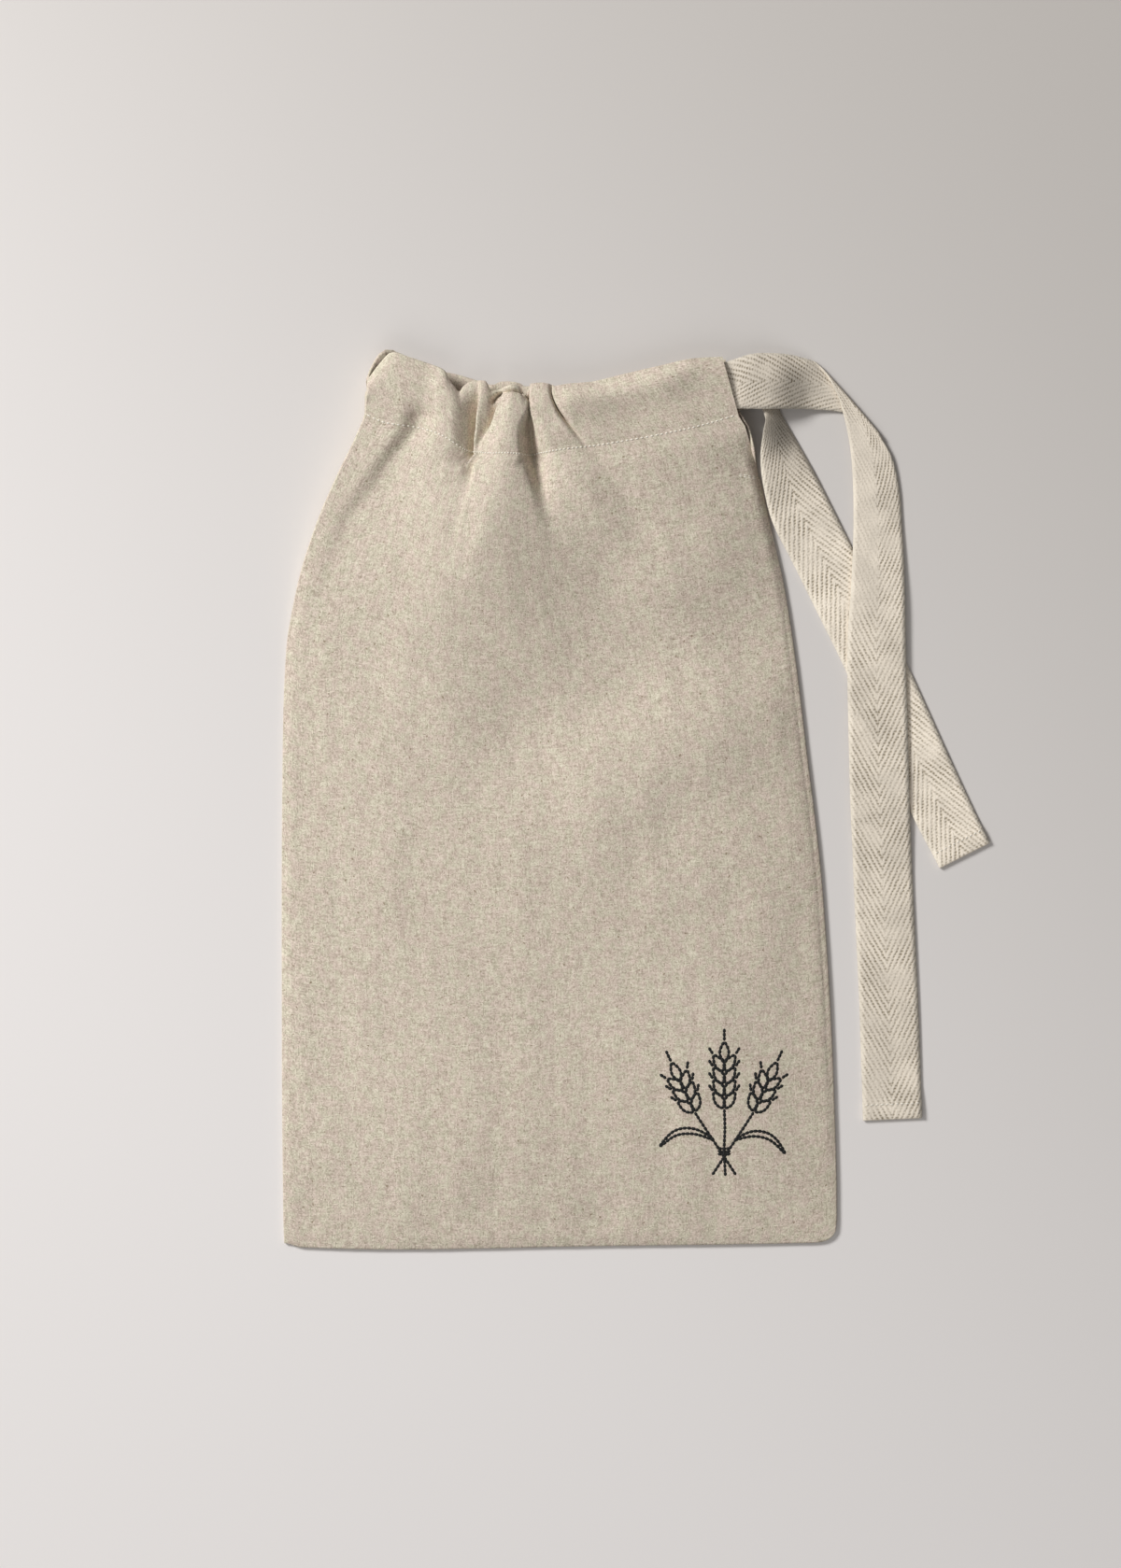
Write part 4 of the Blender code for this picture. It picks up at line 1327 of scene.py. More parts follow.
@dataclass(frozen=True)
class TapeFinish:
    """Herringbone cotton and linen tape.

    Two bands of slanting ribs meet down the middle. Each rib is a row of small floats with a
    dotted shadow line beside it, and the edges are pale corded selvages. It is matt.
    """

    name: str = "herringbone woven tape"
    rib: str = "#EDE2D2"
    pit: str = "#84765C"
    selvage: str = "#DDD4C4"
    width: float = 26.5
    rib_step: float = 4.7  # mm along the tape between ribs
    slant: float = -2.0  # mm along for each mm across: the ribs point to the front end
    pick: float = 1.3  # mm between floats; coarser than the real 0.9 mm, which is too fine
    uneven: float = 2.2  # mm from one uneven place of the weave to the next
    rear_paler: float = 1.16  # the rear end has faded more
    # painted shade on the tape where it slopes away from the light
    rubbed: tuple[tuple[float, float, float, float], ...] = (
        (107.5, 189.0, 17.0, 0.6), (98.6, 168.0, 15.0, 0.42))  # mm seen from above, reach and tone
    flat_from_end: float = 285.0  # mm: the middle of a stretch whose one half is worn smooth
    flat_reach: float = 50.0
    flat_ease: float = 15.0
    roughness: float = 0.85

    def ribs(self, add: AddNode, cut: Node, across: Node, away: Node, along: NodeSocket) -> Node:
        """Work out the shadow between ribs and floats.

        Args:
            add: adds a node to the material.
            cut: the place on the flat tape.
            across: the distance across from the middle, below zero on one side.
            away: the same without its sign.
            along: the distance from the front end.

        Returns:
            The node that gives the depth of shadow.
        """
        wobble = add("TexNoise", {"noise_dimensions": "2D", "Scale": 1.0 / (self.uneven * MM), "Detail": 3.0},
                     {"Vector": cut})
        chevron = add("Math", {"operation": "MULTIPLY_ADD", 1: self.slant}, {0: away, 2: along})
        waves = []
        for place, shake, step in ((chevron, 2.4, self.rib_step), (along, 0.9, self.pick)):
            shifted = add("Math", {"operation": "MULTIPLY_ADD", 1: shake * MM}, {0: wobble, 2: place})
            turns = add("Math", {"operation": "MULTIPLY", 1: 2.0 * math.pi / (step * MM)}, {0: shifted})
            waves.append(add("Math", {"operation": "SINE"}, {0: turns}))
        furrow = add("MapRange", {"From Min": 0.9, "From Max": -0.4}, {"Value": waves[0]})
        floats = add("MapRange", {"From Min": -1.0, "From Max": 1.0}, {"Value": waves[1]})
        between = add("Math", {"operation": "SUBTRACT", 0: 1.0}, {1: furrow})
        dotted = add("Math", {"operation": "MULTIPLY"}, {0: between, 1: floats})
        furrowed = add("Math", {"operation": "MULTIPLY", 1: 0.45}, {0: between})
        deep = add("Math", {"operation": "MULTIPLY_ADD", 1: 1.1}, {0: dotted, 2: furrowed})
        worn = add("TexNoise", {"noise_dimensions": "2D", "Scale": 1.0 / (11.0 * MM), "Detail": 2.0},
                   {"Vector": cut})
        clear = add("MapRange", {"From Min": 0.3, "From Max": 0.62, "To Min": 0.35, "To Max": 1.0},
                    {"Value": worn})
        shown = add("Math", {"operation": "MULTIPLY"}, {0: deep, 1: clear})
        side = add("MapRange", {"From Min": -1.0 * MM, "From Max": 1.0 * MM, "To Min": 0.3, "To Max": 1.0},
                   {"Value": across})
        stretch = add("Math", {"operation": "SUBTRACT", 1: self.flat_from_end * MM}, {0: along})
        past = add("Math", {"operation": "ABSOLUTE"}, {0: stretch})
        kept = add("MapRange", {"From Min": (self.flat_reach - self.flat_ease) * MM,
                                "From Max": self.flat_reach * MM}, {"Value": past})
        ribbed = add("Math", {"operation": "MAXIMUM"}, {0: side, 1: kept})
        return add("Math", {"operation": "MULTIPLY"}, {0: shown, 1: ribbed})

    def wear(self, add: AddNode, cut: Node, along: NodeSocket) -> list[Node]:
        """Work out where handling and light have changed the tape, and paint shade on its slopes that face
        away from the key light.

        Args:
            add: adds a node to the material.
            cut: the place on the flat tape.
            along: the distance from the front end.

        Returns:
            Nodes whose tones each darken or lighten the cloth.
        """
        soiled = add("TexNoise", {"noise_dimensions": "2D", "Scale": 1.0 / (15.0 * MM), "Detail": 3.0},
                     {"Vector": cut})
        tones = [add("MapRange", {"From Min": 0.35, "From Max": 0.65, "To Min": 0.9, "To Max": 1.05},
                     {"Value": soiled})]
        where = add("TexCoord").outputs["Object"]
        plan = add("VectorMath", {"operation": "MULTIPLY", 1: (1.0, 1.0, 0.0)}, {0: where})
        # painted shade: darkest at each spot's middle, gone at its reach
        for x, y, reach, darkest in self.rubbed:
            gap = add("VectorMath", {"operation": "DISTANCE", 1: (x * MM, y * MM, 0.0)}, {0: plan})
            tones.append(add("MapRange", {"interpolation_type": "SMOOTHSTEP", "From Min": 2.0 * MM,
                                          "From Max": reach * MM, "To Min": darkest, "To Max": 1.0},
                             {"Value": gap.outputs["Value"]}))
        tones.append(add("MapRange", {"interpolation_type": "SMOOTHSTEP", "From Min": 0.6, "From Max": 1.0,
                                      "To Min": 1.0, "To Max": self.rear_paler}, {"Value": along}))
        return tones

    def build(self) -> Material:
        """Make the material.

        Returns:
            The material, which reads the piece's own UV map, the flat tape in metres.
        """
        material = new_material(self.name, {"Roughness": self.roughness, **CLOTH_SHINE})
        add = partial(add_node, material.node_tree)
        cut = add("UVMap", {"uv_map": "cut"})
        split = add("SeparateXYZ", {}, {"Vector": cut})
        across = add("Math", {"operation": "SUBTRACT", 1: self.width * MM / 2.0}, {0: split.outputs["X"]})
        away = add("Math", {"operation": "ABSOLUTE"}, {0: across})
        shadow = self.ribs(add, cut, across, away, split.outputs["Y"])
        grainy = add("TexNoise", {"noise_dimensions": "2D", "Scale": 1.0 / (0.9 * MM), "Detail": 1.0},
                     {"Vector": cut})
        speckled = add("Math", {"operation": "MULTIPLY_ADD", 1: 0.9}, {0: grainy, 2: shadow})
        tone = add("MapRange", {"From Min": 0.35, "From Max": 2.2}, {"Value": speckled})
        woven = add("Mix", {"data_type": "RGBA", 6: linear(self.rib), 7: linear(self.pit)}, {0: tone})
        edge = add("MapRange", {"From Min": (self.width / 2.0 - 1.6) * MM,
                                "From Max": (self.width / 2.0 - 0.8) * MM, "To Min": 0.0, "To Max": 0.7},
                   {"Value": away})
        colour = add("Mix", {"data_type": "RGBA", 7: linear(self.selvage)}, {0: edge, 6: woven})
        # soiling, fading and painted shade, each multiplied into the colour
        for worn in self.wear(add, cut, split.outputs["Y"]):
            colour = add("Mix", {"data_type": "RGBA", "blend_type": "MULTIPLY", 0: 1.0}, {6: colour, 7: worn})
        bump = add("Bump", {"Strength": 0.5, "Distance": 0.3 * MM, "invert": True}, {"Height": speckled})
        finish_material(material, colour, bump)
        return material


@dataclass(frozen=True)
class ThreadFinish:
    """Spun polyester sewing or embroidery thread: two plies twisted, with a low soft gloss and painted shade
    in the grooves between the plies.
    """

    name: str
    colour: str
    # painted shade in the grooves between the twisted plies
    shade: str
    roughness: float = 0.55

    def build(self) -> Material:
        """Make the material.

        Returns:
            The material, which reads the stitch's own UV map for its twist.
        """
        material = new_material(self.name, {"Roughness": self.roughness, "Specular IOR Level": 0.4})
        add = partial(add_node, material.node_tree)
        around = add("UVMap", {"uv_map": "stitch"})
        split = add("SeparateXYZ", {}, {"Vector": around})
        lay = add("Math", {"operation": "MULTIPLY_ADD", 1: 2.0},
                  {0: split.outputs["Y"], 2: split.outputs["X"]})
        turns = add("Math", {"operation": "MULTIPLY", 1: 4.0 * math.pi}, {0: lay})
        twist = add("Math", {"operation": "SINE"}, {0: turns})
        tone = add("MapRange", {"From Min": -1.0, "From Max": 1.0}, {"Value": twist})
        # painted shade in the twist's grooves, mixed with the thread's colour
        colour = add("Mix", {"data_type": "RGBA", 6: linear(self.shade), 7: linear(self.colour)}, {0: tone})
        bump = add("Bump", {"Strength": 0.4, "Distance": 0.1 * MM}, {"Height": tone})
        finish_material(material, colour, bump)
        return material


@dataclass(frozen=True)
class PaperFinish:
    """Matt backdrop paper: pale warm grey with an even, slightly toothed surface, and painted shade that
    darkens it towards the upper right.
    """

    name: str = "matt backdrop paper"
    pale: str = "#E6E2E0"
    # painted shade: the paper's tone at the upper right
    deep: str = "#C3BEB9"
    tooth: float = 1.5  # mm across the paper's tooth
    roughness: float = 0.95

    def build(self) -> Material:
        """Make the material.

        Returns:
            The material, which reads the sheet's own coordinates for its painted shade, darker towards the
            upper right.
        """
        material = new_material(self.name, {"Roughness": self.roughness, "Specular IOR Level": 0.1})
        add = partial(add_node, material.node_tree)
        place = add("TexCoord").outputs["Object"]
        split = add("SeparateXYZ", {}, {"Vector": place})
        # painted shade: paler at the lower left, darker towards the upper right
        slant = add("Math", {"operation": "MULTIPLY_ADD", 1: 1.4},
                    {0: split.outputs["Y"], 2: split.outputs["X"]})
        tone = add("MapRange", {"interpolation_type": "SMOOTHSTEP", "From Min": -0.45, "From Max": 0.9},
                   {"Value": slant})
        colour = add("Mix", {"data_type": "RGBA", 6: linear(self.pale), 7: linear(self.deep)}, {0: tone})
        tooth = add("TexNoise", {"Scale": 1.0 / (self.tooth * MM), "Detail": 2.0}, {"Vector": place})
        bump = add("Bump", {"Strength": 0.08, "Distance": 0.05 * MM}, {"Height": tooth})
        finish_material(material, colour, bump)
        return material


# -------- stitches
@dataclass
class Stitches:
    """Short lengths of thread laid on a cloth, each a slim rounded bar sunk into it."""

    name: str
    cloth: Object
    material: Material
    wide: float = 0.6
    proud: float = 0.16
    proud_below: float = 0.08
    half_deep: float = 0.35  # half the thread's thickness, as a share of its width
    shortest: float = 0.1
    longest: float = 8.0  # where a stitch would jump over a fold, it is left out
    look_from: float = 100.0  # above the surface, from where the cloth is looked for
    look_from_below: float = -50.0
    sides: int = 6
    rings: int = 5

    def __post_init__(self) -> None:
        """Start an empty mesh and a search tree of the cloth."""
        self.mesh = bmesh.new()
        self.mesh.loops.layers.uv.new("stitch")
        self.count = 0
        self.tree = BVHTree.FromObject(self.cloth, bpy.context.evaluated_depsgraph_get())

    def on_cloth(self, x: float, y: float, below: bool = False) -> tuple[Vector, Vector]:
        """Find the cloth's surface at a plan place.

        Args:
            x: place across, in mm.
            y: place along, in mm.
            below: whether to come from under the cloth.

        Returns:
            The point in metres and the surface's direction there.
        """
        start = Vector((x, y, self.look_from_below if below else self.look_from)) * MM
        heading = Vector((0.0, 0.0, 1.0 if below else -1.0))
        spot, normal, _, _ = self.tree.ray_cast(start, heading)
        if spot is None:
            return Vector((x * MM, y * MM, 0.0)), -heading
        return spot, normal if normal.dot(heading) < 0.0 else -normal

    def add(self, start: Pair, end: Pair, below: bool = False) -> None:
        """Lay one stitch.

        Args:
            start: plan place of its start, in mm.
            end: plan place of its end, in mm.
            below: whether it lies on the underside.
        """
        first, normal = self.on_cloth(*start, below)
        last, other = self.on_cloth(*end, below)
        up = (normal + other).normalized()
        along = last - first
        if not self.shortest * MM <= along.length <= self.longest * MM:
            return
        side = up.cross(along).normalized()
        up = along.cross(side).normalized()
        proud = self.proud_below if below else self.proud
        deep = self.wide * self.half_deep
        middle = (first + last) / 2.0 + up * (proud - deep) * MM
        turn = Matrix((side * self.wide * MM / 2.0, up * deep * MM, along / 2.0)).transposed()
        bmesh.ops.create_uvsphere(self.mesh, u_segments=self.sides, v_segments=self.rings, radius=1.0,
                                  matrix=Matrix.Translation(middle) @ turn.to_4x4(), calc_uvs=True)
        self.count += 1

    def run(self, path: Sequence[Pair], step: float, gap: float, below: bool = False) -> None:
        """Lay a row of stitches along a path.

        Args:
            path: plan places in mm.
            step: length from one stitch to the next.
            gap: bare cloth between two stitches, below zero where they overlap.
            below: whether they lie on the underside.
        """
        lengths = [0.0]
        for a, b in zip(path, path[1:]):
            lengths.append(lengths[-1] + math.dist(a, b))
        if lengths[-1] < 3.0 * self.shortest:
            return
        count = max(1, round(lengths[-1] / step))
        for i in range(count):
            ends = []
            for place in (i * lengths[-1] / count + gap / 2.0, (i + 1) * lengths[-1] / count - gap / 2.0):
                place = min(lengths[-1], max(0.0, place))
                j = min(len(path) - 1, max(1, bisect.bisect_right(lengths, place)))
                share = (place - lengths[j - 1]) / max(1e-6, lengths[j] - lengths[j - 1])
                ends.append((mix(path[j - 1][0], path[j][0], share), mix(path[j - 1][1], path[j][1], share)))
            self.add(ends[0], ends[1], below)

    def finish(self, slot: str) -> Object:
        """Make the piece and let it ride with the bag.

        Args:
            slot: not used.

        Returns:
            The piece.
        """
        piece = new_piece(self.name, self.mesh, self.material)
        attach(piece, "root")
        log.info("%s: %d stitches", self.name, self.count)
        return piece


# -------- the bag
@dataclass
class LinenBag:
    """The bag's cloth, its casing stitches and the bar at the foot of the slit."""

    shape: BagShape
    linen: Material
    thread: Material
    stitch_step: float = 2.5
    stitch_gap: float = 0.9
    stitch_up: float = 0.035  # of the casing
    stitch_from: float = 2.0
    stitch_to: float = 3.0  # short of the slit
    bar_inset: Pair = (9.4, 1.2)
    bar_up: float = 0.6  # from the slit's foot
    bar_rows: Pair = (0.0, 0.8)
    cut_length: float = 436.0

    def build(self) -> Object:
        """Build the cloth and everything sewn into it.

        Returns:
            The cloth.
        """
        self.cloth = self.make_cloth()
        self.casing_rows = self.sew_casing()
        self.bar = self.sew_slit_bar()
        return self.cloth

    def make_cloth(self) -> Object:
        """Lay the cut over its shape, close its seams and give it its thickness.

        Returns:
            The cloth.
        """
        columns, rows = self.shape.columns(), self.shape.rows()
        points = [[self.shape.point(column, row) for column in columns] for row in rows]
        mesh = bmesh.new()
        cut = [[(column.across, row.along) for column in columns] for row in rows]
        grid = lay_grid(mesh, points, cut)
        sewn = sum(row.kind is RowKind.PANEL and line[0].y <= self.shape.slit_foot_y
                   for row, line in zip(rows, points))
        front_end = sum(1 for column in columns if column.turn == 1.0)
        back_start = next(i for i, column in enumerate(columns) if column.turn == 0.0)
        right_seam = [edge for i in (0, -1) for edge in edges_between([row[i] for row in grid[:sewn]])]
        bottom = edges_between(grid[0][:front_end]) + edges_between(grid[0][back_start:])
        fold_end = edges_between(grid[0][front_end - 1:back_start + 1])
        for seam in (right_seam, bottom):
            bmesh.ops.bridge_loops(mesh, edges=seam)
        closing = edges_between([grid[0][front_end - 1], grid[0][back_start]])
        bmesh.ops.contextual_create(mesh, geom=fold_end + closing)
        bmesh.ops.recalc_face_normals(mesh, faces=mesh.faces)
        cloth = new_piece("bag_cloth", mesh, self.linen)
        thicken(cloth, self.shape.cloth_thick)
        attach(cloth, "root")
        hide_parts("linen_bag")
        log.info("bag_cloth: %d columns by %d rows", len(columns), len(rows))
        return cloth

    def sew_casing(self) -> Object:
        """Sew the casing down with a running stitch, round the front and the back.

        Returns:
            The stitches.
        """
        stitches = Stitches("casing_stitches", self.cloth, self.thread, wide=0.85, proud=0.3)
        for turn in (1.0, 0.0):
            flat = self.stitch_from
            while flat < self.shape.width - self.stitch_to:
                ends = [self.shape.casing_place(Column(place, turn, 0.0), self.stitch_up)
                        for place in (flat, flat + self.stitch_step - self.stitch_gap)]
                stitches.add(ends[0], ends[1], below=turn == 0.0)
                flat += self.stitch_step
        return stitches.finish("linen")

    def sew_slit_bar(self) -> Object:
        """Sew the short bar that keeps the slit from tearing.

        Returns:
            The stitches.
        """
        stitches = Stitches("slit_bar_stitches", self.cloth, self.thread)
        y = self.shape.slit_foot_y + self.bar_up
        left, right = (self.shape.right(y) - inset for inset in self.bar_inset)
        for shift in self.bar_rows:
            stitches.run([(left, y + 1.0 - shift), (right, y - shift)], 2.2, 0.5)
        return stitches.finish("linen")

    def declare(self, sewn_on: Sequence[Object]) -> None:
        """Take the pieces sewn on the bag; nothing is done with them.

        Args:
            sewn_on: not used.
        """


# -------- the embroidery
class Ear(NamedTuple):
    """An ear of wheat: where its stalk ends, where it points and its pairs of grains."""

    x: float
    y: float
    heading: float
    pairs: int


# The sheaf in its own mm, from its middle.
EARS = (Ear(0.0, -3.0, 90.0, 4), Ear(-13.5, -4.5, 115.0, 3), Ear(13.5, -4.5, 65.0, 3))
STEMS = (
    ((0.0, -3.0), (0.3, -12.0), (0.0, -22.0), (0.6, -34.0)),
    ((-13.5, -4.5), (-8.0, -13.0), (-2.0, -22.0), (5.5, -33.5)),
    ((13.5, -4.5), (8.0, -13.0), (2.0, -22.0), (-5.5, -33.5)),
)
LEAVES = (
    ((-4.4, -17.5), (-13.0, -13.5), (-22.0, -14.0), (-29.5, -20.5)),
    ((4.4, -17.5), (13.0, -14.5), (21.5, -16.5), (28.0, -24.0)),
)
TIES = tuple(((-3.2, level), (0.0, level - 0.5), (3.2, level)) for level in (-21.0, -22.3, -23.6))


@dataclass
class WheatEmbroidery:
    """A small sheaf of three wheat ears in black thread, low on the right of the front panel."""

    cloth: Object
    thread: Material
    x: float = 74.8
    y: float = -135.0
    stitch: float = 2.0
    overlap: float = -0.9
    kernel_long: float = 9.2
    kernel_wide: float = 4.6
    kernel_step: float = 5.6
    kernel_parts: int = 8
    kernel_blunt: float = 0.8
    kernel_turn: float = 33.0  # degrees out from the ear
    awn: float = 4.0
    top_awn: float = 6.0
    leaf_wide: float = 2.6
    curve_steps: int = 6

    def build(self) -> Object:
        """Embroider the sheaf.

        Returns:
            The piece that holds all its stitches.
        """
        self.stitches = Stitches("wheat_embroidery", self.cloth, self.thread, wide=1.7, proud=0.34)
        for ear in EARS:
            self.ear(ear)
        for stem in STEMS:
            self.lay(self.curve(stem))
        for leaf in LEAVES:
            self.leaf(leaf)
        for tie in TIES:
            self.lay(tie)
        return self.stitches.finish("linen")

    def lay(self, path: Sequence[Pair]) -> None:
        """Stitch a line given in the sheaf's own mm."""
        self.stitches.run([(self.x + x, self.y + y) for x, y in path], self.stitch, self.overlap)

    def curve(self, path: Sequence[Pair]) -> list[Pair]:
        """Round off a line given by its corner points."""
        return [tuple(row[0]) for row in rounded([[Vector(point)] for point in path], self.curve_steps)]

    def leaf(self, path: Sequence[Pair]) -> None:
        """Stitch a blade: two edges that meet at both ends.

        Args:
            path: its middle line.
        """
        middle = self.curve(path)
        for side in (-1.0, 1.0):
            edge = []
            for i, (x, y) in enumerate(middle):
                before, after = middle[max(i - 1, 0)], middle[min(i + 1, len(middle) - 1)]
                out = self.leaf_wide / 2.0 * math.sin(math.pi * i / (len(middle) - 1)) * side
                out /= math.dist(before, after)
                edge.append((x - (after[1] - before[1]) * out, y + (after[0] - before[0]) * out))
            self.lay(edge)

    def kernel(self, root: Vector, heading: float, awn: float) -> None:
        """Stitch one grain as a pointed oval, with its long bristle.

        Args:
            root: where it grows from.
            heading: direction that it points, in degrees.
            awn: length of its bristle.
        """
        turn = math.radians(heading)
        along, across = Vector((math.cos(turn), math.sin(turn))), Vector((-math.sin(turn), math.cos(turn)))
        for side in (-1.0, 1.0):
            edge = []
            for i in range(self.kernel_parts + 1):
                share = i / self.kernel_parts
                swell = math.sin(math.pi * share ** self.kernel_blunt) * self.kernel_wide / 2.0 * side
                edge.append(tuple(root + along * self.kernel_long * share + across * swell))
            self.lay(edge)
        tip = root + along * self.kernel_long
        self.lay([tuple(tip), tuple(tip + along * awn)])

    def ear(self, ear: Ear) -> None:
        """Stitch an ear of wheat.

        Args:
            ear: the ear.
        """
        turn = math.radians(ear.heading)
        foot, along = Vector((ear.x, ear.y)), Vector((math.cos(turn), math.sin(turn)))
        for i in range(ear.pairs):
            root = foot + along * self.kernel_step * i
            for side in (-1.0, 1.0):
                self.kernel(root, ear.heading + side * self.kernel_turn, self.awn)
        self.kernel(foot + along * self.kernel_step * (ear.pairs - 0.2), ear.heading, self.top_awn)


# -------- the drawstring
class Across(NamedTuple):
    """One line across the tape outside the casing, in mm.

    upper and lower are its edges, named as they lie inside the casing, and crown is how high its
    middle stands over the line between them.
    """

    name: str
    upper_x: float
    upper_y: float
    upper_z: float
    lower_x: float
    lower_y: float
    lower_z: float
    crown: float

    def edges(self) -> tuple[Vector, Vector]:
        """Give the upper and the lower edge as points."""
        return (Vector((self.upper_x, self.upper_y, self.upper_z)),
                Vector((self.lower_x, self.lower_y, self.lower_z)))


FRONT_END = (
    Across("over the slit", 87.0, 203.8, 9.0, 91.0, 179.0, 9.6, 0.6),
    Across("starts down", 97.0, 204.5, 5.8, 102.4, 179.3, 7.0, 1.0),
    Across("sloping", 105.5, 204.0, 3.2, 115.0, 179.4, 2.6, 0.6),
    Across("under the turn", 111.5, 202.6, 2.0, 129.0, 178.2, 1.0, 0.0),
)
FRONT_TURN = ((119.5, 198.0), (143.5, 170.6))
FRONT_TAIL = (
    Across("leaves the turn", 127.0, 184.6, 2.1, 151.6, 156.8, 1.2, 0.0),
    Across("turning", 131.4, 167.6, 1.7, 154.8, 142.6, 0.6, 0.1),
    Across("hanging straight", 133.4, 150.0, 1.4, 155.9, 127.0, 0.6, 0.1),
    Across("meets the other end", 133.8, 125.0, 1.6, 156.8, 109.0, 1.2, 0.1),
    Across("crossing", 132.6, 98.0, 2.0, 157.2, 91.0, 2.0, 0.0),
    Across("over the other end", 131.0, 68.0, 1.9, 157.7, 66.0, 1.9, 0.0),
    Across("past the other end", 132.2, 6.0, 1.8, 159.2, 5.0, 1.8, 0.0),
    Across("stepping down", 133.4, -20.0, 0.9, 160.2, -21.0, 0.9, 0.0),
    Across("on the surface", 134.2, -40.0, 0.5, 161.0, -41.0, 0.5, 0.0),
    Across("lying", 136.6, -92.0, 0.5, 163.4, -93.0, 0.5, 0.0),
    Across("front end hem", 138.2, -143.4, 0.5, 165.0, -142.2, 0.5, 0.0),
)
BACK_TAIL = (
    Across("leaves the rear casing", 87.4, 198.0, 2.0, 91.2, 179.6, 5.4, 0.4),
    Across("bends down", 95.4, 188.0, 1.2, 93.4, 174.6, 8.0, 1.0),
    Across("tented", 102.4, 174.6, 0.5, 92.3, 168.0, 9.0, 1.6),
    Across("leans on the slit", 109.4, 162.2, 0.5, 91.2, 157.0, 8.8, 1.6),
    Across("past the slit foot", 116.2, 150.2, 0.5, 92.7, 144.0, 6.0, 0.8),
    Across("beside the seam", 122.8, 137.4, 0.5, 97.0, 127.8, 3.2, 0.2),
    Across("falling flat", 130.6, 121.8, 0.5, 105.9, 110.4, 0.9, 0.0),
    Across("flat", 142.3, 96.8, 0.5, 118.2, 85.6, 0.5, 0.0),
    Across("under the other end", 154.6, 71.4, 0.5, 130.6, 60.2, 0.5, 0.0),
    Across("lying", 180.0, 15.6, 0.5, 155.8, 4.6, 0.5, 0.0),
    Across("back end hem", 195.4, -17.2, 0.5, 172.8, -28.6, 0.5, 0.0),
)


